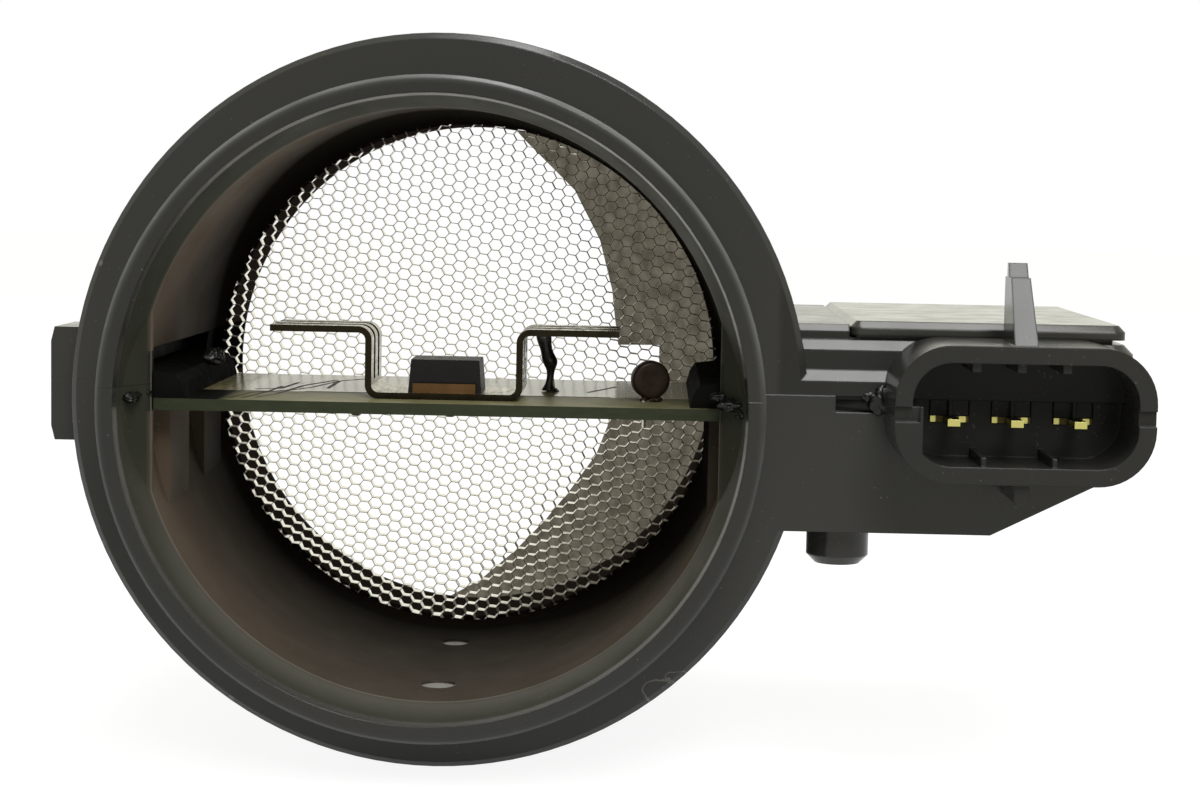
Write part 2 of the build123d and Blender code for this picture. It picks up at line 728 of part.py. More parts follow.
def screen_ring():
    """The ring pressed into the inlet that holds the screen against its shoulder."""
    face = Circle(SCREEN_SEAT_R - RING_CLEARANCE) - Circle(RING_INNER_R)
    return along_y(face, RING_START_Y, TUBE_LENGTH)


# --- board and what stands on it ---
def circuit_board():
    box_left = BOX_INNER_X + BOARD_CLEARANCE
    box_front = BOX_INSIDE_FRONT_Y + BOARD_BOX_GAP
    box_back = BOX_BACK_Y - BOX_WALL - BOARD_BOX_GAP
    points = [
        (-BOARD_HALF_WIDTH, BOARD_FRONT_Y),
        (BOARD_HALF_WIDTH, BOARD_FRONT_Y),
        (BOARD_HALF_WIDTH, BOARD_NECK_FRONT_Y),
        (box_left, BOARD_NECK_FRONT_Y),
        (box_left, box_front),
        (BOARD_RIGHT_X, box_front),
        (BOARD_RIGHT_X, box_back),
        (box_left, box_back),
        (box_left, BOARD_BACK_Y),
        (-BOARD_HALF_WIDTH, BOARD_BACK_Y),
    ]
    face = Plane.XY.offset(BOARD_BOTTOM_Z) * make_face(Polyline(*points, close=True))
    board = extrude(face, amount=BOARD_THICKNESS)
    return board - [wire(x, y, BOARD_BOTTOM_Z, BOARD_TOP_Z, DISC_LEAD_R) for x, y in disc_lead_spots()]


def sink_strip():
    """Centre line of the bent strip: wing, leg, base, leg, wing."""
    low = BOARD_TOP_Z + SINK_THICKNESS / 2
    high = low + SINK_HEIGHT - SINK_THICKNESS
    leg = SINK_BASE_HALF - SINK_THICKNESS / 2
    points = [
        (SINK_X - SINK_WING_HALF, high),
        (SINK_X - leg, high),
        (SINK_X - leg, low),
        (SINK_X + leg, low),
        (SINK_X + leg, high),
        (SINK_X + SINK_WING_HALF, high),
    ]
    return FilletPolyline(*points, radius=SINK_BEND_R)


def heat_sink():
    strip = along_y(trace(sink_strip(), SINK_THICKNESS), SINK_FRONT_Y, SINK_BACK_Y)
    gap = (SINK_DEPTH - SINK_FINGERS * SINK_FINGER_WIDTH) / (SINK_FINGERS - 1)
    slots_bottom = SINK_TOP + SINK_SLOT_START
    for i in range(SINK_FINGERS - 1):
        start = SINK_FRONT_Y + (i + 1) * SINK_FINGER_WIDTH + i * gap
        strip -= block((-BIG, BIG), (start, start + gap), (slots_bottom, BIG))
    return strip


def transistor_tab():
    x = (SINK_X - TAB_WIDTH / 2, SINK_X + TAB_WIDTH / 2)
    return block(x, (TAB_FRONT_Y, TAB_FRONT_Y + TAB_LENGTH), (SINK_TOP, SINK_TOP + TAB_THICKNESS))


def transistor_body():
    middle_y = PACKAGE_FRONT_Y + PACKAGE_LENGTH / 2
    base = Pos(SINK_X, middle_y, SINK_TOP) * Rectangle(PACKAGE_WIDTH, PACKAGE_LENGTH)
    top = Pos(SINK_X, middle_y, SINK_TOP + PACKAGE_HEIGHT) * Rectangle(
        PACKAGE_WIDTH - 2 * PACKAGE_TAPER, PACKAGE_LENGTH - 2 * PACKAGE_TAPER
    )
    return loft([base.face(), top.face()]) - transistor_tab()


def transistor_leads():
    """Two cranked leads that step down behind the heat sink to the board."""
    back = PACKAGE_FRONT_Y + PACKAGE_LENGTH
    step = SINK_BACK_Y + PACKAGE_LEAD_GAP
    foot = step + PACKAGE_LEAD_STEP
    high = SINK_TOP + PACKAGE_LEAD_EXIT
    low = BOARD_TOP_Z + PACKAGE_LEAD_THICKNESS / 2
    points = [
        (back - PACKAGE_LEAD_ROOT, high),
        (step, high),
        (foot, low),
        (foot + PACKAGE_LEAD_FOOT, low),
    ]
    line = FilletPolyline(*points, radius=PACKAGE_LEAD_BEND_R)
    lead = trace(line, PACKAGE_LEAD_THICKNESS)
    leads = []
    for side in (-1, 1):
        x = SINK_X + side * PACKAGE_LEAD_PITCH / 2
        leads += [along_x(lead, x - PACKAGE_LEAD_WIDTH / 2, x + PACKAGE_LEAD_WIDTH / 2)]
    body = transistor_body()
    return Compound(children=[solid_of(lead - body) for lead in leads])


def solid_of(shape):
    return shape.solids().sort_by(SortBy.VOLUME)[-1]


def disc_lead_spots():
    half = DISC_THICKNESS / 2 - DISC_LEAD_R
    return [(DISC_X - DISC_LEAD_INSET, DISC_Y - half), (DISC_X - DISC_LEAD_INSET, DISC_Y + half)]


def ceramic_disc():
    face = Pos(DISC_X, BOARD_TOP_Z + DISC_R) * Circle(DISC_R)
    return along_y(face, DISC_Y - DISC_THICKNESS / 2, DISC_Y + DISC_THICKNESS / 2)


def disc_leads():
    low = BOARD_BOTTOM_Z - DISC_LEAD_TAIL
    high = BOARD_TOP_Z + DISC_R
    disc = ceramic_disc()
    leads = [solid_of(wire(x, y, low, high, DISC_LEAD_R) - disc) for x, y in disc_lead_spots()]
    return Compound(children=leads)


def bead_frame():
    """Foot of the bead on the board, leaning like the real one."""
    return Pos(BEAD_X, BEAD_Y, BOARD_TOP_Z) * Rot(0, -BEAD_LEAN, 0)


def thermistor_bead():
    """A glass bead on a stem: a rounded club, thickest near its lower end."""
    low = BEAD_LEAD_LENGTH
    levels = ((low, BEAD_LEAD_R), (BEAD_BULGE_HEIGHT, BEAD_BULGE_R), (BEAD_HEIGHT, BEAD_TOP_R))
    rings = [(Pos(0, 0, z) * RegularPolygon(radius, ROUND_SIDES)).face() for z, radius in levels]
    return bead_frame() * loft(rings, ruled=True)


def thermistor_lead():
    """The wire under the bead, with its mound of solder on the board."""
    lead = bead_frame() * wire(0, 0, 0, BEAD_LEAD_LENGTH, BEAD_LEAD_R)
    mound = extrude(solder_foot(BEAD_X, BEAD_Y, BOARD_TOP_Z), amount=SOLDER_HEIGHT, taper=SOLDER_TAPER)
    above_board = block((-BIG, BIG), (-BIG, BIG), (BOARD_TOP_Z, BIG))
    return (lead + mound) & above_board


def terminal(x):
    """One flat terminal: narrow blade, wide middle held in the wall, cranked foot on the board."""
    crank_start = BOX_INSIDE_FRONT_Y + CRANK_GAP
    board_z = BOARD_TOP_Z + TERMINAL_THICKNESS / 2
    crank_end = crank_start + CRANK_LENGTH
    board_front = BOX_INSIDE_FRONT_Y + BOARD_BOX_GAP
    line = Polyline(
        (BLADE_TIP_Y, TERMINAL_Z),
        (crank_start, TERMINAL_Z),
        (crank_end, board_z),
        (board_front + TERMINAL_PAD_LENGTH, board_z),
    )
    strip = along_x(trace(line, TERMINAL_THICKNESS), x - TERMINAL_WIDTH / 2, x + TERMINAL_WIDTH / 2)
    shoulder = SOCKET_BACK_Y - TERMINAL_STANDOUT
    half = BLADE_WIDTH / 2
    for side in (-1, 1):
        edge = sorted((x + side * half, x + side * TERMINAL_WIDTH))
        strip -= block(edge, (-BIG, shoulder), (-BIG, BIG))
    tip = strip.faces().sort_by(Axis.Y)[0].edges()
    return chamfer(tip, BLADE_CHAMFER)


def sealant(side):
    """Black sealant over one end of the board, pressed into the seam."""
    inner = side * (LIP_FLAT_X - SEALANT_REACH)
    outer = side * SLOT_OUTER_X
    top = BOARD_TOP_Z + SEALANT_HEIGHT
    points = [
        (inner, BOARD_TOP_Z),
        (inner + side * SEALANT_SLOPES[0], top - SEALANT_SHOULDER),
        (inner + side * SEALANT_SLOPES[1], top),
        (outer, top + SEALANT_RISE),
        (outer, BOARD_TOP_Z),
    ]
    face = make_face(Polyline(*points, close=True))
    start = SLOT_FRONT_Y + SEALANT_END_GAP
    return along_y(face, start, SLOT_BACK_Y - SEALANT_END_GAP)


def left_sealant():
    return sealant(-1)


def right_sealant():
    """Like the left one, and through the wall over the board's neck."""
    start = BOARD_NECK_FRONT_Y + SEALANT_END_GAP
    end = SLOT_BACK_Y - SEALANT_END_GAP
    through = block((SLOT_OUTER_X, BOX_INNER_X), (start, end), (BOARD_TOP_Z, SEAM_Z))
    return sealant(1) + through


def solder_foot(x, y, z):
    return Pos(x, y, z) * RegularPolygon(SOLDER_R, WIRE_SIDES)


def solder_mound(x, y):
    """A low mound of solder under the board."""
    return extrude(solder_foot(x, y, BOARD_BOTTOM_Z), amount=-SOLDER_HEIGHT, taper=SOLDER_TAPER)


def solder_joints():
    mounds = [solder_mound(x, y) for x, y in SOLDER_SPOTS]
    for x, y in disc_lead_spots():
        lead = wire(x, y, BOARD_BOTTOM_Z - 2 * SOLDER_HEIGHT, BOARD_BOTTOM_Z, DISC_LEAD_R)
        mounds += [solder_mound(x, y) - lead]
    return Compound(children=[solid_of(mound) for mound in mounds])


# --- parts inside the box ---
def control_chip():
    x, y = CHIP_POSITION
    width, length, height = CHIP_SIZE
    base = BOARD_TOP_Z + CHIP_STANDOFF
    body = block((x - width / 2, x + width / 2), (y - length / 2, y + length / 2), (base, base + height))
    return chamfer(body.faces().sort_by(Axis.Z)[-1].edges(), CHIP_CHAMFER)


def chip_leads():
    """Two rows of gull-wing leads."""
    x, y = CHIP_POSITION
    half = CHIP_SIZE[0] / 2
    high = BOARD_TOP_Z + CHIP_STANDOFF + CHIP_SIZE[2] / 2
    low = BOARD_TOP_Z + CHIP_PIN_THICKNESS / 2
    leads = []
    for side in (-1, 1):
        line = Polyline(
            (x + side * half, high),
            (x + side * (half + CHIP_PIN_BENDS[0]), high),
            (x + side * (half + CHIP_PIN_BENDS[1]), low),
            (x + side * (half + CHIP_PIN_REACH), low),
        )
        face = trace(line, CHIP_PIN_THICKNESS)
        for i in range(CHIP_PINS):
            middle = y + (i - (CHIP_PINS - 1) / 2) * CHIP_PIN_PITCH
            leads += [solid_of(along_y(face, middle - CHIP_PIN_WIDTH / 2, middle + CHIP_PIN_WIDTH / 2))]
    return Compound(children=leads)


def can_capacitors():
    """Two round capacitors on square feet."""
    cans = []
    half = CAN_BASE_SIDE / 2
    foot_z = (BOARD_TOP_Z, BOARD_TOP_Z + CAN_BASE_HEIGHT)
    for y in CANS_Y:
        foot = block((CAN_X - half, CAN_X + half), (y - half, y + half), foot_z)
        can = extrude(Pos(CAN_X, y, BOARD_TOP_Z) * RegularPolygon(CAN_R, ROUND_SIDES), amount=CAN_HEIGHT)
        cans += [solid_of(foot + can)]
    return Compound(children=cans)


def chip_resistors():
    """A column of flat resistors."""
    length, width, height = RESISTOR_SIZE
    x = (RESISTOR_X, RESISTOR_X + length)
    parts = []
    for i in range(RESISTOR_COUNT):
        start = RESISTOR_START_Y + i * RESISTOR_PITCH
        parts += [block(x, (start, start + width), (BOARD_TOP_Z, BOARD_TOP_Z + height))]
    return Compound(children=[solid_of(part) for part in parts])


NODES = {
    "upper_housing": upper_housing,
    "lower_housing": lower_housing,
    "electronics_cover": electronics_cover,
    "cover_seal": cover_seal,
    "inlet_screen": inlet_screen,
    "screen_ring": screen_ring,
    "circuit_board": circuit_board,
    "heat_sink": heat_sink,
    "transistor_body": transistor_body,
    "transistor_tab": transistor_tab,
    "transistor_leads": transistor_leads,
    "ceramic_disc": ceramic_disc,
    "disc_leads": disc_leads,
    "thermistor_bead": thermistor_bead,
    "thermistor_lead": thermistor_lead,
    "left_sealant": left_sealant,
    "right_sealant": right_sealant,
    "solder_joints": solder_joints,
    "control_chip": control_chip,
    "chip_leads": chip_leads,
    "can_capacitors": can_capacitors,
    "chip_resistors": chip_resistors,
}

os.makedirs("parts", exist_ok=True)
for name, make in NODES.items():
    export_step(make(), f"parts/{name}.step")
for number, x in enumerate(terminal_xs(), start=1):
    export_step(terminal(x), f"parts/terminal_{number}.step")
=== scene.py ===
import math

import bmesh
import bpy
from mathutils import Matrix, Vector, noise

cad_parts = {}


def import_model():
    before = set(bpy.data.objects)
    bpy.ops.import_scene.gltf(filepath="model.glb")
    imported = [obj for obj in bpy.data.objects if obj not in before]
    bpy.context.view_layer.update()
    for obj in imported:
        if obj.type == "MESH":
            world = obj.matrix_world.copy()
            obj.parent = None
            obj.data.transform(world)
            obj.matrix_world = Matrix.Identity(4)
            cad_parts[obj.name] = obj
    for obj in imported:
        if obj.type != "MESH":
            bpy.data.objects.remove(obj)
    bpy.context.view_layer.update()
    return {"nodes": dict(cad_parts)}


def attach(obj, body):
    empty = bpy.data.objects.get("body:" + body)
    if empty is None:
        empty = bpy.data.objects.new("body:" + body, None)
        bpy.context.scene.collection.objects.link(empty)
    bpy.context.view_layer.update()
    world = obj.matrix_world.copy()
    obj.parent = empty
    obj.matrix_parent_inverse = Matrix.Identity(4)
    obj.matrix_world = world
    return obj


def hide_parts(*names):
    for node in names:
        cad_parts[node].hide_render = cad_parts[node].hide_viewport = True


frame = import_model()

MM = 0.001
nodes = frame["nodes"]

# --- sizes shared with the solids, in millimetres ---
SPIGOT_R = 44.45
TUBE_LENGTH = 88.9
LIP_Y = 8.5                 # where the mouth's taper ends
FLANGE_Y = 13.0
SEAM_Z = 2.4
SCREEN_SEAT_R = 42.0
SCREEN_Y = 68.0
BOARD_TOP = 0.4
BOARD_BOTTOM = -1.2
TERMINAL_XS = (69.65, 78.0, 86.35)
TERMINAL_Z = -0.25


# --- mesh helpers ---
def new_object(name, mesh, material, smooth=True):
    obj = bpy.data.objects.new(name, mesh)
    bpy.context.scene.collection.objects.link(obj)
    mesh.materials.append(material)
    if smooth:
        mesh.shade_smooth()
    return obj


def mesh_from(name, vertices, faces, material, smooth=True):
    """An object from points in millimetres."""
    mesh = bpy.data.meshes.new(name)
    mesh.from_pydata([Vector(v) * MM for v in vertices], [], faces)
    mesh.update()
    return new_object(name, mesh, material, smooth)


def mesh_from_bm(name, bm, material, smooth=True):
    bmesh.ops.recalc_face_normals(bm, faces=bm.faces)
    mesh = bpy.data.meshes.new(name)
    bm.to_mesh(mesh)
    bm.free()
    return new_object(name, mesh, material, smooth)


def quads_between(rows, size, rows_close=False, row_closes=True):
    """Faces that join rows of points, each size points long and listed one after another."""
    faces = []
    for i in range(rows if rows_close else rows - 1):
        here = i * size
        there = (i + 1) % rows * size
        for k in range(size if row_closes else size - 1):
            n = (k + 1) % size
            faces.append((here + k, here + n, there + n, there + k))
    return faces


def lathe(name, section, material, steps):
    """A closed ring from a section of (radius, y) points, turned about the bore's axis."""
    vertices = []
    for i in range(steps):
        angle = 2 * math.pi * i / steps
        vertices += [(r * math.cos(angle), y, r * math.sin(angle)) for r, y in section]
    faces = quads_between(steps, len(section), rows_close=True)
    return mesh_from(name, vertices, faces, material, smooth=False)


def part(obj, slot_name, *replaced):
    """Finishes a piece: it rides on the part and may stand for CAD nodes; slot_name is not used."""
    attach(obj, "root")
    if replaced:
        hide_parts(*replaced)


# --- node helpers ---
class Nodes:
    """The node tree of a material or world, with short names for the nodes used here."""

    def __init__(self, owner):
        owner.use_nodes = True
        self.tree = owner.node_tree
        self.tree.nodes.clear()

    def node(self, kind, **settings):
        made = self.tree.nodes.new(kind)
        for key, value in settings.items():
            setattr(made, key, value)
        return made

    def link(self, source, target):
        self.tree.links.new(source, target)

    def give(self, socket, value):
        """Links a socket to another, or sets its number or colour."""
        if hasattr(value, "is_linked"):
            self.link(value, socket)
        elif isinstance(value, tuple):
            socket.default_value = (*value, 1)
        else:
            socket.default_value = value

    def math(self, operation, a, b):
        made = self.node("ShaderNodeMath", operation=operation)
        self.give(made.inputs[0], a)
        self.give(made.inputs[1], b)
        return made.outputs[0]

    def product(self, *values):
        total = values[0]
        for value in values[1:]:
            total = self.math("MULTIPLY", total, value)
        return total

    def any_of(self, *values):
        """The largest of some masks."""
        total = values[0]
        for value in values[1:]:
            total = self.math("MAXIMUM", total, value)
        return total

    def spread(self, value, low, high, to_low=0.0, to_high=1.0):
        """Maps low..high to to_low..to_high and clamps."""
        made = self.node("ShaderNodeMapRange")
        for key, number in (("From Min", low), ("From Max", high), ("To Min", to_low), ("To Max", to_high)):
            made.inputs[key].default_value = number
        self.link(value, made.inputs["Value"])
        return made.outputs[0]

    def above(self, value, start, soft):
        """0 up to start, rising to 1 over soft."""
        return self.spread(value, start, start + soft)

    def below(self, value, end, soft):
        """1 up to end, falling to 0 over soft."""
        return self.spread(value, end, end + soft, 1, 0)

    def band(self, value, low, high, soft):
        """1 from low to high, with soft edges outside them."""
        return self.product(self.above(value, low - soft, soft), self.below(value, high, soft))

    def mix(self, fac, a, b):
        """A colour between a and b."""
        made = self.node("ShaderNodeMix", data_type="RGBA")
        self.give(made.inputs[0], fac)
        self.give(made.inputs[6], a)
        self.give(made.inputs[7], b)
        return made.outputs[2]


class Shader(Nodes):
    """A piece's material. Its masks work in the part's own millimetres."""

    SOCKETS = {"color": "Base Color", "rough": "Roughness", "metal": "Metallic",
               "specular": "Specular IOR Level"}

    def __init__(self, name):
        self.material = bpy.data.materials.new(name)
        super().__init__(self.material)
        output = self.node("ShaderNodeOutputMaterial")
        self.bsdf = self.node("ShaderNodeBsdfPrincipled")
        self.link(self.bsdf.outputs[0], output.inputs[0])
        geometry = self.node("ShaderNodeNewGeometry")
        self.point = geometry.outputs["Position"]
        self.normal = geometry.outputs["True Normal"]

    def set(self, **values):
        for key, value in values.items():
            self.give(self.bsdf.inputs[self.SOCKETS[key]], value)

    def vector(self, operation, source, value):
        """One vector operation on source, with a fixed second value."""
        made = self.node("ShaderNodeVectorMath", operation=operation)
        made.inputs[1].default_value = value
        self.link(source, made.inputs[0])
        return made

    def length(self, source):
        made = self.node("ShaderNodeVectorMath", operation="LENGTH")
        self.link(source, made.inputs[0])
        return made.outputs["Value"]

    def noise(self, size_mm, detail, stretch=(1, 1, 1)):
        """Noise from 0 to 1 with features about size_mm across."""
        mapping = self.node("ShaderNodeMapping")
        mapping.inputs["Scale"].default_value = [1 / MM / size_mm * s for s in stretch]
        self.link(self.point, mapping.inputs["Vector"])
        made = self.node("ShaderNodeTexNoise")
        made.inputs["Scale"].default_value = 1
        made.inputs["Detail"].default_value = detail
        self.link(mapping.outputs[0], made.inputs["Vector"])
        return made.outputs["Fac"]

    def axis(self, index):
        """The position along one axis."""
        split = self.node("ShaderNodeSeparateXYZ")
        self.link(self.point, split.inputs[0])
        return self.math("MULTIPLY", split.outputs[index], 1 / MM)

    def radius(self):
        """Distance from the bore's axis."""
        return self.length(self.vector("MULTIPLY", self.point, (1 / MM, 0, 1 / MM)).outputs[0])

    def near(self, place, reach, soft, stretch=(1, 1, 1)):
        """1 within reach of a place, falling to 0 over soft."""
        away = self.vector("SUBTRACT", self.point, [v * MM for v in place])
        scaled = self.vector("MULTIPLY", away.outputs[0], [1 / MM / v for v in stretch])
        return self.below(self.length(scaled.outputs[0]), reach, soft)

    def facing(self, direction):
        """1 on faces that look along a direction, and 0 elsewhere."""
        return self.spread(self.vector("DOT_PRODUCT", self.normal, direction).outputs["Value"], 0.8, 0.9)

    def round_edges(self, radius_mm):
        made = self.node("ShaderNodeBevel", samples=4)
        made.inputs["Radius"].default_value = radius_mm * MM
        self.link(made.outputs[0], self.bsdf.inputs["Normal"])

    def bump(self, height, depth_mm, strength=0.5):
        """Relief on top of what the normal already has."""
        made = self.node("ShaderNodeBump")
        made.inputs["Strength"].default_value = strength
        made.inputs["Distance"].default_value = depth_mm * MM
        self.link(height, made.inputs["Height"])
        normal = self.bsdf.inputs["Normal"]
        if normal.is_linked:
            self.link(normal.links[0].from_socket, made.inputs["Normal"])
        self.link(made.outputs[0], normal)


FRONT = (0, -1, 0)          # the way the outlet looks


# --- housing and cover ---
def moulded_plastic(name, base, rough, warm, edge=0.3):
    """Satin plastic with rounded edges, warm blotches, a fine grain and faint flow lines."""
    s = Shader(name)
    s.round_edges(edge)
    broad = s.spread(s.noise(28, 3), 0.35, 0.65)
    blotches = s.mix(s.product(broad, 0.4), base, warm)
    s.set(color=blotches, rough=s.spread(s.noise(6, 4), 0.3, 0.7, rough - 0.04, rough + 0.06))
    s.bump(s.noise(0.35, 3), 0.01)
    s.bump(s.noise(0.7, 3, (0.06, 1, 1)), 0.012)
    s.bump(s.noise(9, 2), 0.05, 0.25)
    return s


UNLIT = (0.004, 0.004, 0.004)   # shade that is painted into the colour
MOUTH_R = 41.7              # the taper's face is inside this radius
BORE_SKIN_R = 40.9          # the bore's wall is inside this one
SEAT_R = 42.9               # and the pads' pockets and the screen's seat inside this one
SEAT_START_Y = 10.0
POCKET_TOP = 6.85
DARKENS_FROM = 34           # shaded depths, see shaded_depth
DARK_AT = 62
GLOSS_GONE_AT = 60
SHROUD_LEFT = 60.3
SHROUD_TOP = 10.55
TIERS_LEFT = 46
SOCKET_MIDDLE = (78.1, 6.5, 1.45)
SOCKET_REACH = (18, 7.2, 9.5)
NOTCH_MIDDLE = (57.5, 13.9, 1.3)
NOTCH_REACH = (4.2, 1.5, 2)
EJECTOR_MARKS = ((19.8, 2.5), (49.5, 2.2))      # y and radius of each, on the bore's floor
EJECTOR_MARK_Z = -40.2
SCRAPES = (((31.5, 13.0, -39.2), 3.68, (1.1, 1, 0.8)), ((33.8, 13.0, -37.2), 1.92, (1.5, 1, 0.8)))
NICKS = (((-28.3, 13.2, -41.6), 0.4), ((-46.5, 13.2, -20.4), 0.5), ((-46.5, 13.2, 18.5), 0.3))
OUTSIDE_GLOSS = 0.27
DULL_GLOSS = 0.008


def inside_and_mouth(s, radius, y):
    """Masks of the bore with its pockets, and of the taper in front of it."""
    bore = s.product(s.below(radius, BORE_SKIN_R - 0.2, 0.2), s.above(y, LIP_Y - 1, 1.5))
    seat = s.product(s.below(radius, SEAT_R, 0.1), s.above(y, SEAT_START_Y - 0.1, 0.2))
    inside = s.product(s.any_of(bore, seat), s.below(y, TUBE_LENGTH - 0.9, 0.5))
    mouth = s.product(s.below(radius, MOUTH_R, 0.1), s.above(y, 0.2, 0.3))
    return inside, mouth


def shaded_depth(s, x, y, z):
    """Depth in the bore, counted deeper towards the upper right.

    The colour and gloss follow it, so the shade there stays the same under any light."""
    return s.math("ADD", y, s.spread(s.math("ADD", x, z), -30, 50, 0, 50))


def bore_skin_and_shade(s, y, z, depth):
    """Warm brown near the rim, paler towards the top with painted light; painted shade makes it almost
    black deeper in, and black at the height of the board's pockets.
    """
    # warm brown, with painted light that makes it paler towards the top
    brown_and_light_near_rim = s.mix(s.spread(z, -38, 10), (0.046, 0.036, 0.026), (0.125, 0.092, 0.063))
    # painted shade, darker with depth
    skin = s.mix(s.spread(depth, DARKENS_FROM, DARK_AT), brown_and_light_near_rim, (0.02, 0.018, 0.014))
    skin = s.mix(s.spread(y, SCREEN_Y - 8, SCREEN_Y - 1), skin, (0.026, 0.019, 0.016))
    # painted shade: a black band at the height of the board's pockets
    pocket = s.product(s.below(z, POCKET_TOP, 0.1), s.above(z, BOARD_BOTTOM - 0.1, 0.1))
    return s.mix(pocket, skin, UNLIT)


def taper_skin_and_highlight(s, y, z):
    """The taper's face, with a painted highlight that makes its inner half paler at the bottom."""
    # the painted highlight on the lower inner half
    pale = s.product(s.spread(y, 2.5, 7), s.below(z, -26, 20))
    return s.mix(pale, (0.028, 0.029, 0.021), (0.062, 0.06, 0.048))


def rim_line(s, radius, y, z):
    """A pale line on the rim's outer corner, strongest at the top: wear and highlight in one."""
    corner = s.math("POWER", s.spread(radius, SPIGOT_R - 1.35, SPIGOT_R - 0.25), 2.5)
    corner = s.product(corner, s.below(radius, SPIGOT_R + 0.05, 0.1), s.below(y, 0.5, 0.3))
    return s.product(corner, s.spread(z, -10, 25, 0.15, 1), s.spread(s.noise(14, 2), 0.3, 0.6, 0.5, 1))


def lip_line(s, radius, y):
    """A pale line on the edge between the taper and the bore: wear and highlight in one."""
    edge = s.product(s.band(y, LIP_Y - 0.1, LIP_Y + 0.1, 0.2), s.below(radius, BORE_SKIN_R - 0.3, 0.2))
    return s.product(edge, s.spread(s.noise(9, 3), 0.3, 0.6, 0.3, 1))


def scuffs(s):
    """The ragged outlines of two scrapes on the flange, and some small nicks."""
    outlines = []
    for place, soft, stretch in SCRAPES:
        ragged = s.spread(s.noise(1.6, 4), 0, 1, -0.25, 0.25)
        outlines.append(s.band(s.math("ADD", s.near(place, 0, soft, stretch), ragged), 0.36, 0.4, 0.03))
    nicks = [s.near(place, reach, 0.2) for place, reach in NICKS]
    return s.any_of(*outlines, *nicks)


def dust(s):
    """Fine specks, in patches."""
    return s.product(s.spread(s.noise(0.45, 0), 0.79, 0.8), s.spread(s.noise(7, 2), 0.5, 0.6))


def notch_shade(s, y):
    """Streaks of painted shade in the notch at the seam's end."""
    notch = s.product(s.above(y, FLANGE_Y + 0.3, 0.2), s.near(NOTCH_MIDDLE, 0.8, 0.3, NOTCH_REACH))
    return s.product(notch, s.spread(s.noise(0.8, 3, (0.1, 1, 1)), 0.4, 0.6, 0.5, 1))


def front_shade(s, x, y, z, radius):
    """Faces of the connector, the box's tiers and the rim that look forward and shine less."""
    shroud = s.product(s.above(x, SHROUD_LEFT, 0.5), s.below(y, FLANGE_Y - 0.5, 0.4),
                       s.below(z, SHROUD_TOP - 0.1, 0.2))
    tiers = s.product(s.above(x, TIERS_LEFT, 1), s.above(z, SEAM_Z, 0.2), s.above(y, FLANGE_Y - 0.6, 0.4))
    front = s.product(s.facing(FRONT), s.any_of(shroud, tiers))
    rim = s.product(s.below(y, 0.5, 0.2), s.below(radius, SPIGOT_R + 0.05, 0.2))
    return s.any_of(s.product(front, 0.6), s.product(rim, 0.35))


def housing_material():
    """Satin outside; a duller, warmer skin inside the bore, with painted light near the rim and painted
    shade that darkens it towards the screen.
    """
    s = moulded_plastic("housing_plastic", (0.021, 0.021, 0.0195), 0.18, (0.026, 0.0245, 0.02))
    outside_color = s.bsdf.inputs["Base Color"].links[0].from_socket
    outside_rough = s.bsdf.inputs["Roughness"].links[0].from_socket
    x, y, z = (s.axis(index) for index in range(3))
    radius = s.radius()
    inside, mouth = inside_and_mouth(s, radius, y)
    depth = shaded_depth(s, x, y, z)
    notch = notch_shade(s, y)

    color = s.mix(mouth, outside_color, taper_skin_and_highlight(s, y, z))
    color = s.mix(rim_line(s, radius, y, z), color, (0.115, 0.118, 0.112))
    color = s.mix(inside, color, bore_skin_and_shade(s, y, z, depth))
    color = s.mix(lip_line(s, radius, y), color, (0.1, 0.092, 0.075))
    color = s.mix(s.product(scuffs(s), 0.5), color, (0.15, 0.148, 0.13))
    color = s.mix(s.product(dust(s), 0.22), color, (0.2, 0.19, 0.17))
    color = s.mix(notch, color, UNLIT)

    marks = s.any_of(*[s.near((0, y_mark, EJECTOR_MARK_Z), r - 0.1, 0.2) for y_mark, r in EJECTOR_MARKS])
    dull = s.math("SUBTRACT", s.any_of(inside, s.product(mouth, 0.85)), marks)
    socket = s.product(s.near(SOCKET_MIDDLE, 1, 0.05, SOCKET_REACH), 0.7)
    duller = s.any_of(dull, socket, front_shade(s, x, y, z, radius), notch)
    gloss = s.spread(duller, 0, 1, OUTSIDE_GLOSS, DULL_GLOSS)
    gloss = s.product(gloss, s.spread(s.product(inside, depth), DARKENS_FROM, GLOSS_GONE_AT, 1, 0))
    s.set(color=color, rough=s.math("ADD", outside_rough, s.product(dull, 0.3)), specular=gloss)
    return s.material


def cover_material():
    s = moulded_plastic("cover_plastic", (0.026, 0.026, 0.022), 0.13, (0.028, 0.026, 0.02), 0.5)
    s.set(specular=0.25)
    return s.material


# --- board ---
GLOSS_Y = 24.9              # the board is bare and glossy behind this line
SHADED_LEFT_X = -30       # and painted shade makes the mask dark to the left of this one
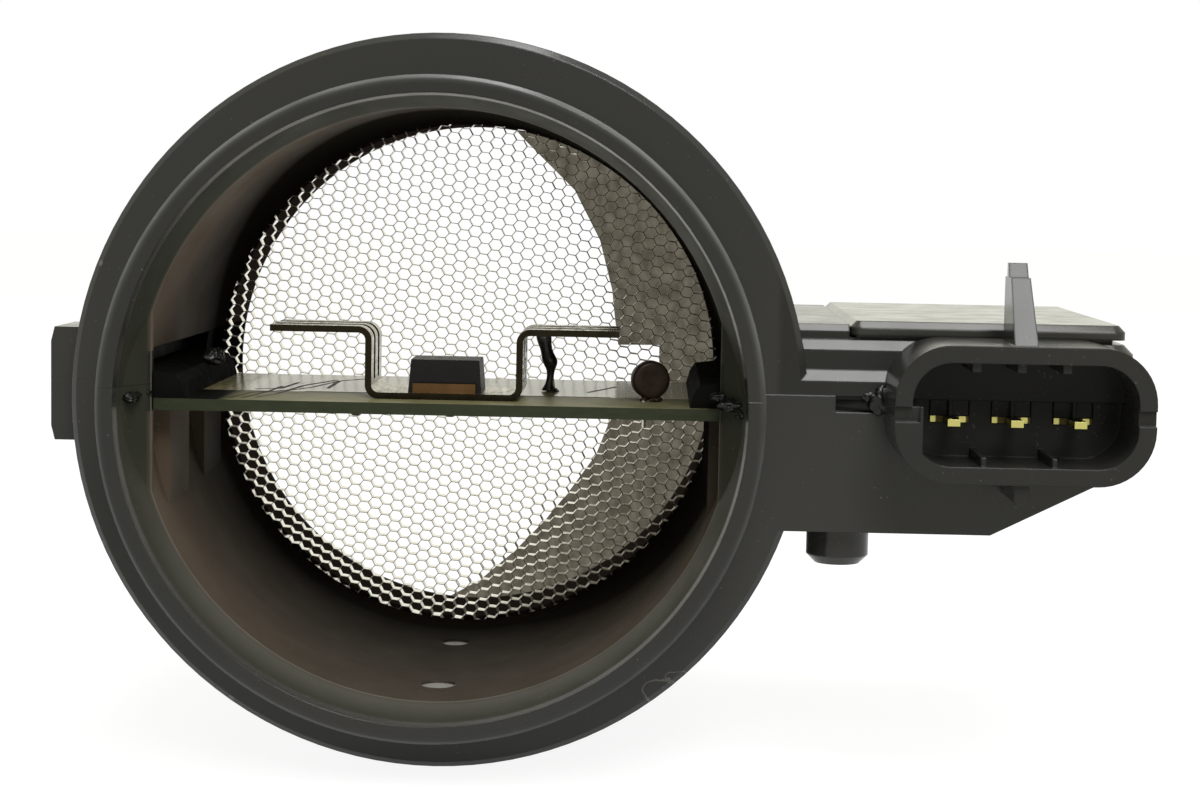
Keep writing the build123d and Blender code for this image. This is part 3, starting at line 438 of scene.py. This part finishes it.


def board_material():
    """Tan-green mask in front, bare glossy laminate behind, a dark sawn edge, and painted shade on the
    mask's left end.
    """
    s = Shader("board")
    y = s.axis(1)
    behind = s.above(y, GLOSS_Y, 0.3)
    line = s.product(s.above(y, GLOSS_Y - 0.25, 0.05), s.below(y, GLOSS_Y, 0.05))
    shaded_left = s.below(s.axis(0), SHADED_LEFT_X, 2)
    edge = s.facing(FRONT)
    mask = s.mix(s.spread(s.noise(6, 3), 0.35, 0.7), (0.15, 0.142, 0.066), (0.24, 0.222, 0.115))
    # painted shade: the mask is almost black on the left end
    mask = s.mix(shaded_left, mask, (0.006, 0.006, 0.005))
    bare = s.mix(s.spread(s.noise(1.2, 2, (1, 0.3, 1)), 0.4, 0.6), (0.27, 0.238, 0.12), (0.38, 0.34, 0.185))
    top = s.mix(line, s.mix(behind, mask, bare), (0.03, 0.028, 0.015))
    sawn = s.mix(s.noise(2.2, 3, (1, 1, 3)), (0.018, 0.022, 0.012), (0.034, 0.039, 0.022))
    rough = s.math("ADD", s.spread(behind, 0, 1, 0.42, 0.14), s.product(edge, 0.1))
    dull = s.any_of(s.product(shaded_left, s.math("SUBTRACT", 1, edge)), s.product(edge, 0.5))
    s.set(color=s.mix(edge, top, sawn), rough=rough, specular=s.spread(dull, 0, 1, 0.15, 0.015))
    s.bump(s.noise(0.5, 2, (1, 0.25, 1)), 0.01, 0.4)
    s.bump(s.noise(5, 2), 0.06, 0.3)
    return s.material


# --- metals ---
def bare_metal(name, base, rough=0.3, tarnish=(0.25, 0.22, 0.17), depth=0.01, metal=1.0):
    s = Shader(name)
    patches = s.spread(s.noise(2.5, 4), 0.45, 0.75)
    s.set(color=s.mix(s.product(patches, 0.5), base, tarnish), metal=metal,
          rough=s.spread(s.noise(0.8, 3), 0.3, 0.7, rough - 0.06, rough + 0.12))
    s.bump(s.noise(0.5, 3), depth)
    return s.material


def sink_plate():
    """Dull tin plate, rolled lengthwise, and dark on every face that looks forward."""
    s = Shader("sink_plate")
    patches = s.spread(s.noise(2.5, 4), 0.45, 0.75)
    plate = s.mix(s.product(patches, 0.6), (0.42, 0.385, 0.29), (0.17, 0.15, 0.1))
    # a dark colour for every face that looks forward
    forward_face_color = s.mix(s.noise(1.5, 3), (0.011, 0.0095, 0.006), (0.026, 0.021, 0.013))
    rolled = (1, 0.15, 1)
    s.set(color=s.mix(s.facing(FRONT), plate, forward_face_color), metal=1.0,
          rough=s.spread(s.noise(0.8, 3, rolled), 0.3, 0.7, 0.16, 0.34))
    s.bump(s.noise(0.5, 3, rolled), 0.012)
    return s.material


TIP_END_Y = 2.5             # the blades are bright on their ends and dark with painted shade behind them
FOOT_Y = 10.6
FOOT_REFLECTIONS = ((-2.5, 0.55), (1.75, 0.4))        # x from the blade and radius of each painted reflection


def gold_plate():
    """Bright gold on the blade's end and on two spots of the foot, which are painted reflections; painted
    shade makes it dark elsewhere.
    """
    s = Shader("gold_plate")
    tips = s.below(s.axis(1), TIP_END_Y - 0.3, 0.3)
    # painted reflections on the foot
    spots = [s.near((x + dx, FOOT_Y, TERMINAL_Z), reach, 0.15, (1, 1, 2))
             for x in TERMINAL_XS for dx, reach in FOOT_REFLECTIONS]
    bright = s.any_of(tips, *spots)
    clean = s.mix(s.noise(0.8, 3), (0.58, 0.54, 0.2), (0.46, 0.42, 0.15))
    rough = s.math("SUBTRACT", s.spread(s.noise(0.8, 3), 0.3, 0.7, 0.4, 0.5), s.product(bright, 0.15))
    s.set(color=s.mix(bright, (0.05, 0.042, 0.016), clean), metal=1.0, rough=rough)
    s.bump(s.noise(0.5, 3), 0.02)
    return s.material


# --- resins and glass ---
def glossy(name, base, rough, lumps, depth, specular):
    """A glossy skin with lumps of a size and depth in millimetres."""
    s = Shader(name)
    s.set(color=base, rough=s.spread(s.noise(1.4, 2), 0.3, 0.7, rough, rough + 0.15), specular=specular)
    s.bump(s.noise(lumps, 3), depth, 0.6)
    return s.material


def epoxy(name, base, rough=0.42):
    """Matt moulded resin, half as bright again in patches."""
    s = Shader(name)
    s.round_edges(0.15)
    s.set(color=s.mix(s.noise(1.1, 3), base, tuple(c * 1.5 for c in base)), specular=0.14,
          rough=s.spread(s.noise(0.6, 3), 0.3, 0.7, rough - 0.06, rough + 0.08))
    s.bump(s.noise(0.2, 2), 0.008)
    return s.material


def dipped_coating():
    s = Shader("dipped_disc")
    s.set(color=s.mix(s.spread(s.noise(1.3, 4), 0.3, 0.7), (0.016, 0.009, 0.006), (0.028, 0.016, 0.01)),
          rough=s.spread(s.noise(0.7, 2), 0.3, 0.7, 0.3, 0.45), specular=0.14)
    s.bump(s.noise(0.45, 3), 0.03, 0.6)
    return s.material


# --- every node's finish ---
HOUSING = housing_material()
COVER = cover_material()
SCREEN_FOIL = bare_metal("screen_foil", (0.92, 0.9, 0.85), 0.3, (0.86, 0.82, 0.74), metal=0.92)
SINK_METAL = sink_plate()
COPPER = bare_metal("copper_tab", (0.11, 0.062, 0.027), 0.3, (0.05, 0.028, 0.014))
LEADS = bare_metal("tinned_wire", (0.6, 0.58, 0.52))
GOLD = gold_plate()
SOLDER = bare_metal("solder", (0.6, 0.59, 0.56), 0.22, (0.35, 0.34, 0.32), depth=0.03)
ALUMINIUM = bare_metal("can_aluminium", (0.75, 0.75, 0.75), 0.35, (0.6, 0.6, 0.6))
SILICONE = glossy("silicone", (0.007, 0.007, 0.006), 0.16, 1.1, 0.2, 0.25)
POTTING = glossy("potting", (0.007, 0.007, 0.006), 0.5, 3.0, 0.2, 0.002)
BOARD = board_material()
PACKAGE = epoxy("package_epoxy", (0.0045, 0.004, 0.0045))
CHIP = epoxy("chip_epoxy", (0.02, 0.02, 0.021))
RESISTOR = epoxy("resistor_body", (0.03, 0.03, 0.032), 0.3)
DISC = dipped_coating()
BEAD = glossy("bead_glass", (0.035, 0.032, 0.028), 0.2, 0.8, 0.03, 0.3)
TRACE = epoxy("trace_lacquer", (0.03, 0.026, 0.014), 0.5)

FINISH = {
    HOUSING: ("upper_housing", "lower_housing", "screen_ring"),
    COVER: ("electronics_cover",),
    SILICONE: ("cover_seal",),
    SCREEN_FOIL: ("inlet_screen",),
    BOARD: ("circuit_board",),
    SINK_METAL: ("heat_sink",),
    PACKAGE: ("transistor_body",),
    COPPER: ("transistor_tab",),
    LEADS: ("transistor_leads", "disc_leads", "thermistor_lead", "chip_leads"),
    DISC: ("ceramic_disc",),
    BEAD: ("thermistor_bead",),
    POTTING: ("left_sealant", "right_sealant"),
    SOLDER: ("solder_joints",),
    CHIP: ("control_chip",),
    ALUMINIUM: ("can_capacitors",),
    RESISTOR: ("chip_resistors",),
    GOLD: ("terminal_1", "terminal_2", "terminal_3"),
}
for material, names in FINISH.items():
    for name in names:
        nodes[name].data.materials.clear()
        nodes[name].data.materials.append(material)


# --- foil honeycomb of the inlet ---
CELL_ACROSS = 1.724         # column to column
CELL_UP = 1.673             # cell to cell in a column
CELL_TURN = -6.5            # degrees, seen from the rim
FOIL = 0.09
FOIL_DEPTH = 2.3
FOIL_ROUND = 0.03           # rounding of the foil's front and back edges
MESH_FRONT_Y = SCREEN_Y + 0.15
MESH_R = 41.4
CUT_MARGIN = 0.9            # no cell has its middle nearer the edge than this
PRESSED_MARGIN = 2.6        # the foil is pressed out of shape nearer the edge than this
CELL_WANDER = 0.05          # how far the foil's corners stray
EDGE_WANDER = 0.22          # and where it was cut and pressed into its seat
WAVE_WANDER = 0.25          # and how far whole rows of cells bend
WANDER_SCALE = 1.7          # steps of the noise per millimetre
WAVE_SCALE = 0.09
LAYER_STEP = 9.1            # parts the noise of the front corners from that of the back ones
WAVE_STEP = 3.7
noise.seed_set(1)           # noise_vector would start from the clock otherwise


def strayed(u, v, layer):
    """A corner of the foil, moved a little from its place in the pattern."""
    reach = EDGE_WANDER if math.hypot(u, v) > MESH_R - PRESSED_MARGIN else CELL_WANDER
    shift = noise.noise_vector(Vector((u * WANDER_SCALE, v * WANDER_SCALE, layer * LAYER_STEP))) * reach
    wave = noise.noise_vector(Vector((u * WAVE_SCALE, v * WAVE_SCALE, WAVE_STEP))) * WAVE_WANDER
    return u + shift.x + wave.x, v + shift.y + wave.y


def inlet_mesh():
    """Hexagonal cells of thin foil, with rounded front and back edges."""
    near_u = CELL_ACROSS / 3
    far_u = CELL_ACROSS - near_u
    up = CELL_UP / 2
    corners = [(far_u, 0), (near_u, up), (-near_u, up), (-far_u, 0), (-near_u, -up), (near_u, -up)]
    shrink = 1 - FOIL / CELL_UP
    turn = Matrix.Rotation(math.radians(CELL_TURN), 2)
    front = MESH_FRONT_Y
    back = MESH_FRONT_Y + FOIL_DEPTH
    vertices = []
    faces = []
    shared = {}

    def add(u, v, y, key=None):
        """The number of a point, which neighbouring cells share if it has a key."""
        if key in shared:
            return shared[key]
        x, z = turn @ Vector((u, v))
        vertices.append((x, y, z))
        if key is not None:
            shared[key] = len(vertices) - 1
        return len(vertices) - 1

    columns = int(MESH_R / CELL_ACROSS) + 1
    rows = int(MESH_R / CELL_UP) + 1
    for i in range(-columns, columns + 1):
        for j in range(-rows, rows + 1):
            cu = i * CELL_ACROSS
            cv = j * CELL_UP + (up if i % 2 else 0)
            if math.hypot(cu, cv) > MESH_R - CUT_MARGIN:
                continue
            rings = [[], [], [], []]
            for a, b in corners:
                key = (round((cu + a) * 1000), round((cv + b) * 1000))
                fu, fv = strayed(cu + a, cv + b, 0)
                bu, bv = strayed(cu + a, cv + b, 1)
                rings[0].append(add(fu, fv, front, (*key, 0)))
                rings[1].append(add(cu + (fu - cu) * shrink, cv + (fv - cv) * shrink, front + FOIL_ROUND))
                rings[2].append(add(cu + (bu - cu) * shrink, cv + (bv - cv) * shrink, back - FOIL_ROUND))
                rings[3].append(add(bu, bv, back, (*key, 1)))
            for k in range(6):
                n = (k + 1) % 6
                for p, q in zip(rings, rings[1:]):
                    faces.append((p[k], p[n], q[n], q[k]))
    return mesh_from("inlet_mesh", vertices, faces, SCREEN_FOIL, smooth=False)


def screen_rim():
    """The flat edge of the screen, held between the shoulder and the ring."""
    outer = SCREEN_SEAT_R - 0.06
    inner = MESH_R - 0.2
    front = SCREEN_Y + 0.02
    back = SCREEN_Y + 2.55
    section = [(inner, front), (outer, front), (outer, back), (inner, back)]
    return lathe("screen_rim", section, SCREEN_FOIL, 128)


part(inlet_mesh(), "screen", "inlet_screen")
part(screen_rim(), "screen", "inlet_screen")


# --- terminals ---
BACK_Z = 0.8                # height of a blade behind its crank
BLADE = (                   # y, z, half width, half thickness and shift along x
    (2.0, TERMINAL_Z + 0.3, 0.82, 0.46, -0.4),
    (FOOT_Y, TERMINAL_Z, 0.78, 0.42, 0),
    (FOOT_Y + 0.01, TERMINAL_Z, 2.6, 0.4, 0),
    (15.7, TERMINAL_Z, 2.6, 0.4, 0),
    (17.2, BACK_Z, 2.6, 0.4, 0),
    (22.0, BACK_Z, 2.6, 0.4, 0),
)
BLADE_ROUND = 0.07


def terminal(number, x):
    """A stamped blade that leans a little to the left, on its wide foot with a crank behind the wall."""
    vertices = []
    for y, z, half, thick, shift in BLADE:
        for a, b in ((-1, -1), (1, -1), (1, 1), (-1, 1)):
            vertices.append((x + shift + a * half, y, z + b * thick))
    faces = quads_between(len(BLADE), 4)
    faces.append((3, 2, 1, 0))
    last = 4 * (len(BLADE) - 1)
    faces.append((last, last + 1, last + 2, last + 3))
    obj = mesh_from(f"terminal_blade_{number}", vertices, faces, GOLD, smooth=False)
    rounding = obj.modifiers.new("edges", "BEVEL")
    rounding.width = BLADE_ROUND * MM
    rounding.segments = 2
    part(obj, "gold", f"terminal_{number}")


for number, x in enumerate(TERMINAL_XS, start=1):
    terminal(number, x)


# --- disc and bead ---
def lump(name, place, size, seed, material=SILICONE, slot="sealant"):
    """A lumpy smear, pressed on at a place."""
    bm = bmesh.new()
    bmesh.ops.create_icosphere(bm, subdivisions=4, radius=1)
    for v in bm.verts:
        p = v.co.copy()
        broad = noise.noise(p * 1.5 + Vector((seed, 0, 0)))
        fine = noise.noise(p * 4 + Vector((0, seed, 0)))
        bulge = 1 + 0.42 * broad + 0.2 * fine
        v.co = Vector([(place[k] + p[k] * bulge * size[k]) * MM for k in range(3)])
    part(mesh_from_bm(name, bm, material), slot)


DISC_CENTRE = (29.05, 20.6, 3.45)
DISC_R = 2.66
DISC_HALF = 1.2
DISC_TURN = 14              # degrees, towards the right
DISC_STEPS = 40
DISC_SAG = 0.03             # how much the coating's radius wanders


def ceramic_disc():
    """A dipped disc: a pillow shape with a thick rim of coating."""
    shares = ((0, 0.9), (0.55, 0.93), (0.8, 1), (0.9, 0.95), (0.97, 0.8), (1, 0.5))
    profile = [(DISC_R * r, DISC_HALF * t) for r, t in shares]
    profile += [(r, -t) for r, t in reversed(profile)]
    vertices = []
    turn = Matrix.Rotation(math.radians(DISC_TURN), 3, "Z")
    for i in range(DISC_STEPS):
        angle = 2 * math.pi * i / DISC_STEPS
        for r, t in profile:
            sag = 1 + DISC_SAG * noise.noise(Vector((math.cos(angle) * 1.5, math.sin(angle) * 1.5, t)))
            point = turn @ Vector((r * sag * math.cos(angle), -t, r * sag * math.sin(angle)))
            vertices.append(point + Vector(DISC_CENTRE))
    faces = quads_between(DISC_STEPS, len(profile), rows_close=True, row_closes=False)
    part(mesh_from("dipped_disc", vertices, faces, DISC), "disc", "ceramic_disc")


BEAD_PATH = (               # x, z and radius, from the board up
    (14.2, 0.42, 1.1), (14.22, 0.75, 0.95), (14.35, 1.4, 0.6), (14.5, 2.4, 0.5), (14.55, 3.5, 0.56),
    (14.5, 4.2, 0.98), (14.4, 4.9, 1.2), (14.15, 5.6, 1.0), (13.8, 6.6, 0.86), (13.5, 7.8, 1.1),
    (13.42, 8.8, 1.25),
)
BEAD_Y = 34.0
BEAD_SIDES = 20


def glass_bead():
    """A closed skin through level rings along the bead's path."""
    vertices = []
    for x, z, r in BEAD_PATH:
        for k in range(BEAD_SIDES):
            angle = 2 * math.pi * k / BEAD_SIDES
            vertices.append((x + r * math.cos(angle), BEAD_Y + r * math.sin(angle), z))
    faces = quads_between(len(BEAD_PATH), BEAD_SIDES)
    faces.append(tuple(reversed(range(BEAD_SIDES))))
    faces.append(tuple(range(len(vertices) - BEAD_SIDES, len(vertices))))
    obj = mesh_from("glass_bead", vertices, faces, BEAD)
    smoothing = obj.modifiers.new("smooth", "SUBSURF")
    smoothing.levels = smoothing.render_levels = 1
    part(obj, "bead", "thermistor_bead")


ceramic_disc()
lump("disc_foot_left", (28.2, 20.0, 0.75), (0.45, 0.5, 0.4), 2.0, DISC, "disc")
lump("disc_foot_right", (29.8, 20.2, 0.75), (0.9, 0.6, 0.45), 5.0, DISC, "disc")
glass_bead()


# --- silicone squeezed out of the seams ---
SILICONE_LUMPS = (          # place and half sizes
    ("left_lip", (-41.2, 5.2, 0.9), (2.0, 2.2, 0.7)),
    ("left_rim", (-39.3, 8.6, 1.2), (1.0, 1.0, 0.6)),
    ("left_pocket", (-31.8, 18.0, 5.6), (1.5, 1.2, 1.1)),
    ("right_lip", (40.25, 5.6, 1.4), (2.2, 2.2, 0.9)),
    ("right_seam", (38.5, 8.2, 2.3), (1.3, 1.2, 0.7)),
    ("right_rim", (41.4, 4.2, 0.3), (0.9, 1.3, 0.8)),
    ("notch_end", (60.7, 12.9, 1.8), (1.5, 0.7, 1.9)),
    ("notch_corner", (59.0, 13.3, 2.3), (1.3, 0.5, 0.7)),
)
SEED_STEP = 7.3             # parts the noise of one lump from the next
for count, (name, place, size) in enumerate(SILICONE_LUMPS, start=3):
    lump(f"silicone_{name}", place, size, count * SEED_STEP)


# --- traces on the board ---
TRACES = (                  # half width, then the points of a line
    (0.25, (-28.5, 12.5), (-28.0, 16.0), (-27.1, 21.5), (-25.0, 24.5), (-24.4, 33.0)),
    (0.3, (-27.0, 13.0), (-25.9, 18.0), (-25.3, 23.0), (-22.5, 27.0), (-21.5, 35.0), (-18.0, 46.0)),
    (0.25, (-25.2, 14.0), (-23.3, 20.0), (-22.6, 26.0), (-20.0, 32.0), (-17.5, 44.0)),
    (0.3, (-27.5, 27.5), (-24.0, 29.5), (-23.0, 40.0)),
    (0.45, (-20.0, 25.1), (-1.5, 25.1)),
    (0.3, (-17.5, 31.0), (-17.5, 44.0), (-12.0, 52.0)),
    (0.45, (7.0, 25.1), (23.5, 25.1)),
    (0.3, (20.0, 33.0), (24.0, 44.0)),
)
TRACE_Z = BOARD_TOP + 0.02


def board_traces():
    """Thin dark conductor lines printed on the laminate."""
    bm = bmesh.new()
    for half, *line in TRACES:
        for (x0, y0), (x1, y1) in zip(line, line[1:]):
            along = Vector((x1 - x0, y1 - y0)).normalized()
            side = Vector((-along.y, along.x)) * half
            corners = [(x0 + side.x, y0 + side.y), (x1 + side.x, y1 + side.y),
                       (x1 - side.x, y1 - side.y), (x0 - side.x, y0 - side.y)]
            bm.faces.new([bm.verts.new(Vector((x, y, TRACE_Z)) * MM) for x, y in corners])
    part(mesh_from_bm("board_traces", bm, TRACE, smooth=False), "board")


board_traces()


# --- stage ---
FLOOR_Z = -50.8
FLOOR_SIDE = 1800
FLOOR_FRONT = -110
FLOOR_BACK = 3000
FLOOR_GLOW = 1.12
FLOOR_MATT_SHARE = 0.2      # how much of its shading the floor keeps for the camera


def seen_directly(s):
    """1 for rays from the camera, mirrors and glass, and 0 for the light that falls on the object."""
    path = s.node("ShaderNodeLightPath")
    return s.any_of(*[path.outputs[f"Is {kind} Ray"] for kind in ("Camera", "Glossy", "Transmission")])


def glow_over(s, share, glow, under):
    """Ends a material with a share of glow over another shader."""
    mix = s.node("ShaderNodeMixShader")
    s.link(share, mix.inputs[0])
    s.link(under.outputs[0], mix.inputs[1])
    s.link(glow.outputs[0], mix.inputs[2])
    s.link(mix.outputs[0], s.node("ShaderNodeOutputMaterial").inputs[0])


def floor_paper():
    """Pale matt paper that is seen as nearly white and keeps a soft shadow."""
    material = bpy.data.materials.new("floor_paper")
    s = Nodes(material)
    paper = s.node("ShaderNodeBsdfDiffuse")
    s.give(paper.inputs["Color"], (0.9, 0.9, 0.9))
    glow = s.node("ShaderNodeEmission")
    s.give(glow.inputs["Strength"], FLOOR_GLOW)
    glow_over(s, s.product(seen_directly(s), 1 - FLOOR_MATT_SHARE), glow, paper)
    return material


def floor():
    corners = [(-FLOOR_SIDE, FLOOR_FRONT, FLOOR_Z), (FLOOR_SIDE, FLOOR_FRONT, FLOOR_Z),
               (FLOOR_SIDE, FLOOR_BACK, FLOOR_Z), (-FLOOR_SIDE, FLOOR_BACK, FLOOR_Z)]
    mesh_from("floor", corners, [(0, 1, 2, 3)], floor_paper())


CARD_Y = 91.0
CARD_R = 42.5
CARD_ARC_STEPS = 40
CARD_EDGE = (               # x and z of its left edge, from the top down
    (3.8, 41.2), (7.2, 37.6), (15.7, 29.4), (20.1, 21.1), (22.3, 12.8), (22.9, 7.8), (23.5, 3.6),
    (30.4, 3.7), (30.5, -1.9), (30.6, -6.3), (22.5, -6.4), (22.0, -10.0), (20.1, -15.1),
    (15.8, -21.2), (11.7, -26.4), (6.7, -31.7), (0.8, -36.9), (-4.3, -39.8), (-8.5, -41.6),
)


def room_card():
    """A dim grey-brown painted glow, seen from the front only."""
    material = bpy.data.materials.new("room_card")
    s = Nodes(material)
    shade = s.node("ShaderNodeTexNoise")
    s.give(shade.inputs["Scale"], 30)
    tint = s.mix(s.spread(shade.outputs["Fac"], 0.35, 0.65), (0.085, 0.075, 0.055), (0.15, 0.135, 0.105))
    glow = s.node("ShaderNodeEmission")
    s.give(glow.inputs["Color"], tint)
    front = s.math("SUBTRACT", 1, s.node("ShaderNodeNewGeometry").outputs["Backfacing"])
    glow_over(s, s.product(front, seen_directly(s)), glow, s.node("ShaderNodeBsdfTransparent"))
    return material


def background_card():
    """The dim shape that the photograph shows through the right of the bore.

    It is part of the room and not of the sensor, and nothing else depends on it. It glows for the camera
    and in reflections, from the front only; it casts no shadow and lights no diffuse surface."""
    outline = list(CARD_EDGE)
    start = math.atan2(CARD_EDGE[-1][1], CARD_EDGE[-1][0])
    end = math.atan2(CARD_EDGE[0][1], CARD_EDGE[0][0])
    for i in range(CARD_ARC_STEPS + 1):
        angle = start + (end - start) * i / CARD_ARC_STEPS
        outline.append((CARD_R * math.cos(angle), CARD_R * math.sin(angle)))
    vertices = [(x, CARD_Y, z) for x, z in outline]
    card = mesh_from("background_card", vertices, [tuple(range(len(vertices)))], room_card(), smooth=False)
    card.visible_shadow = False
    card.visible_diffuse = False


ROOM_DIM = 0.26             # strength of the room in front of the object
ROOM_BRIGHT = 1.0           # and behind it


def world():
    """White where it is seen directly; a room that lights the object from behind, and dimly in front."""
    made = bpy.data.worlds.new("studio")
    bpy.context.scene.world = made
    s = Nodes(made)
    background = s.node("ShaderNodeBackground")
    camera_ray = s.node("ShaderNodeLightPath").outputs["Is Camera Ray"]
    s.give(background.inputs["Color"], s.mix(camera_ray, (1.0, 0.99, 0.88), (1, 1, 1)))
    s.link(background.outputs[0], s.node("ShaderNodeOutputWorld").inputs[0])
    direction = s.node("ShaderNodeSeparateXYZ")
    s.link(s.node("ShaderNodeNewGeometry").outputs["Position"], direction.inputs[0])
    strength = s.node("ShaderNodeMix", data_type="FLOAT")
    s.link(seen_directly(s), strength.inputs[0])
    s.link(s.spread(direction.outputs[1], -0.3, 0.6, ROOM_DIM, ROOM_BRIGHT), strength.inputs[2])
    s.give(strength.inputs[3], 1.0)
    s.link(strength.outputs[0], background.inputs["Strength"])


def area_light(name, place, target, size, watts):
    data = bpy.data.lights.new(name, "AREA")
    data.shape = "RECTANGLE"
    data.size, data.size_y = (v * MM for v in size)
    data.energy = watts
    obj = bpy.data.objects.new(name, data)
    bpy.context.scene.collection.objects.link(obj)
    obj.location = Vector(place) * MM
    obj.rotation_euler = (Vector(target) - Vector(place)).to_track_quat("-Z", "Y").to_euler()


CAMERA_PLACE = (29.1135, -322.3, 30.9211)
CAMERA_YAW = -0.0205715     # radians
CAMERA_PITCH = -0.0886006
CAMERA_ROLL = 0.0191986
FOCAL_PIXELS = 2460.73      # for an image this many pixels wide
IMAGE_PIXELS = 1200
SENSOR = 36


def camera():
    """At the photograph's viewing angle: a little to the right of the bore, above it, and tilted."""
    data = bpy.data.cameras.new("camera")
    data.sensor_width = SENSOR
    data.lens = FOCAL_PIXELS / IMAGE_PIXELS * SENSOR
    data.clip_start, data.clip_end = 0.01, 20
    obj = bpy.data.objects.new("camera", data)
    bpy.context.scene.collection.objects.link(obj)
    level = math.cos(CAMERA_PITCH)
    forward = Vector((math.sin(CAMERA_YAW) * level, math.cos(CAMERA_YAW) * level, math.sin(CAMERA_PITCH)))
    right = Vector((math.cos(CAMERA_YAW), -math.sin(CAMERA_YAW), 0))
    up = right.cross(forward)
    turned_right = right * math.cos(CAMERA_ROLL) + up * math.sin(CAMERA_ROLL)
    turned_up = up * math.cos(CAMERA_ROLL) - right * math.sin(CAMERA_ROLL)
    axes = Matrix((turned_right, turned_up, -forward)).transposed().to_4x4()
    obj.matrix_world = Matrix.Translation(Vector(CAMERA_PLACE) * MM) @ axes
    bpy.context.scene.camera = obj


floor()
background_card()
world()
camera()
area_light("top_softbox", (150, -220, 700), (60, -20, 0), (280, 600), 6.0)
area_light("front_softbox", (150, -600, 470), (60, 0, 0), (280, 260), 2.9)

bpy.context.scene.view_settings.view_transform = "Standard"
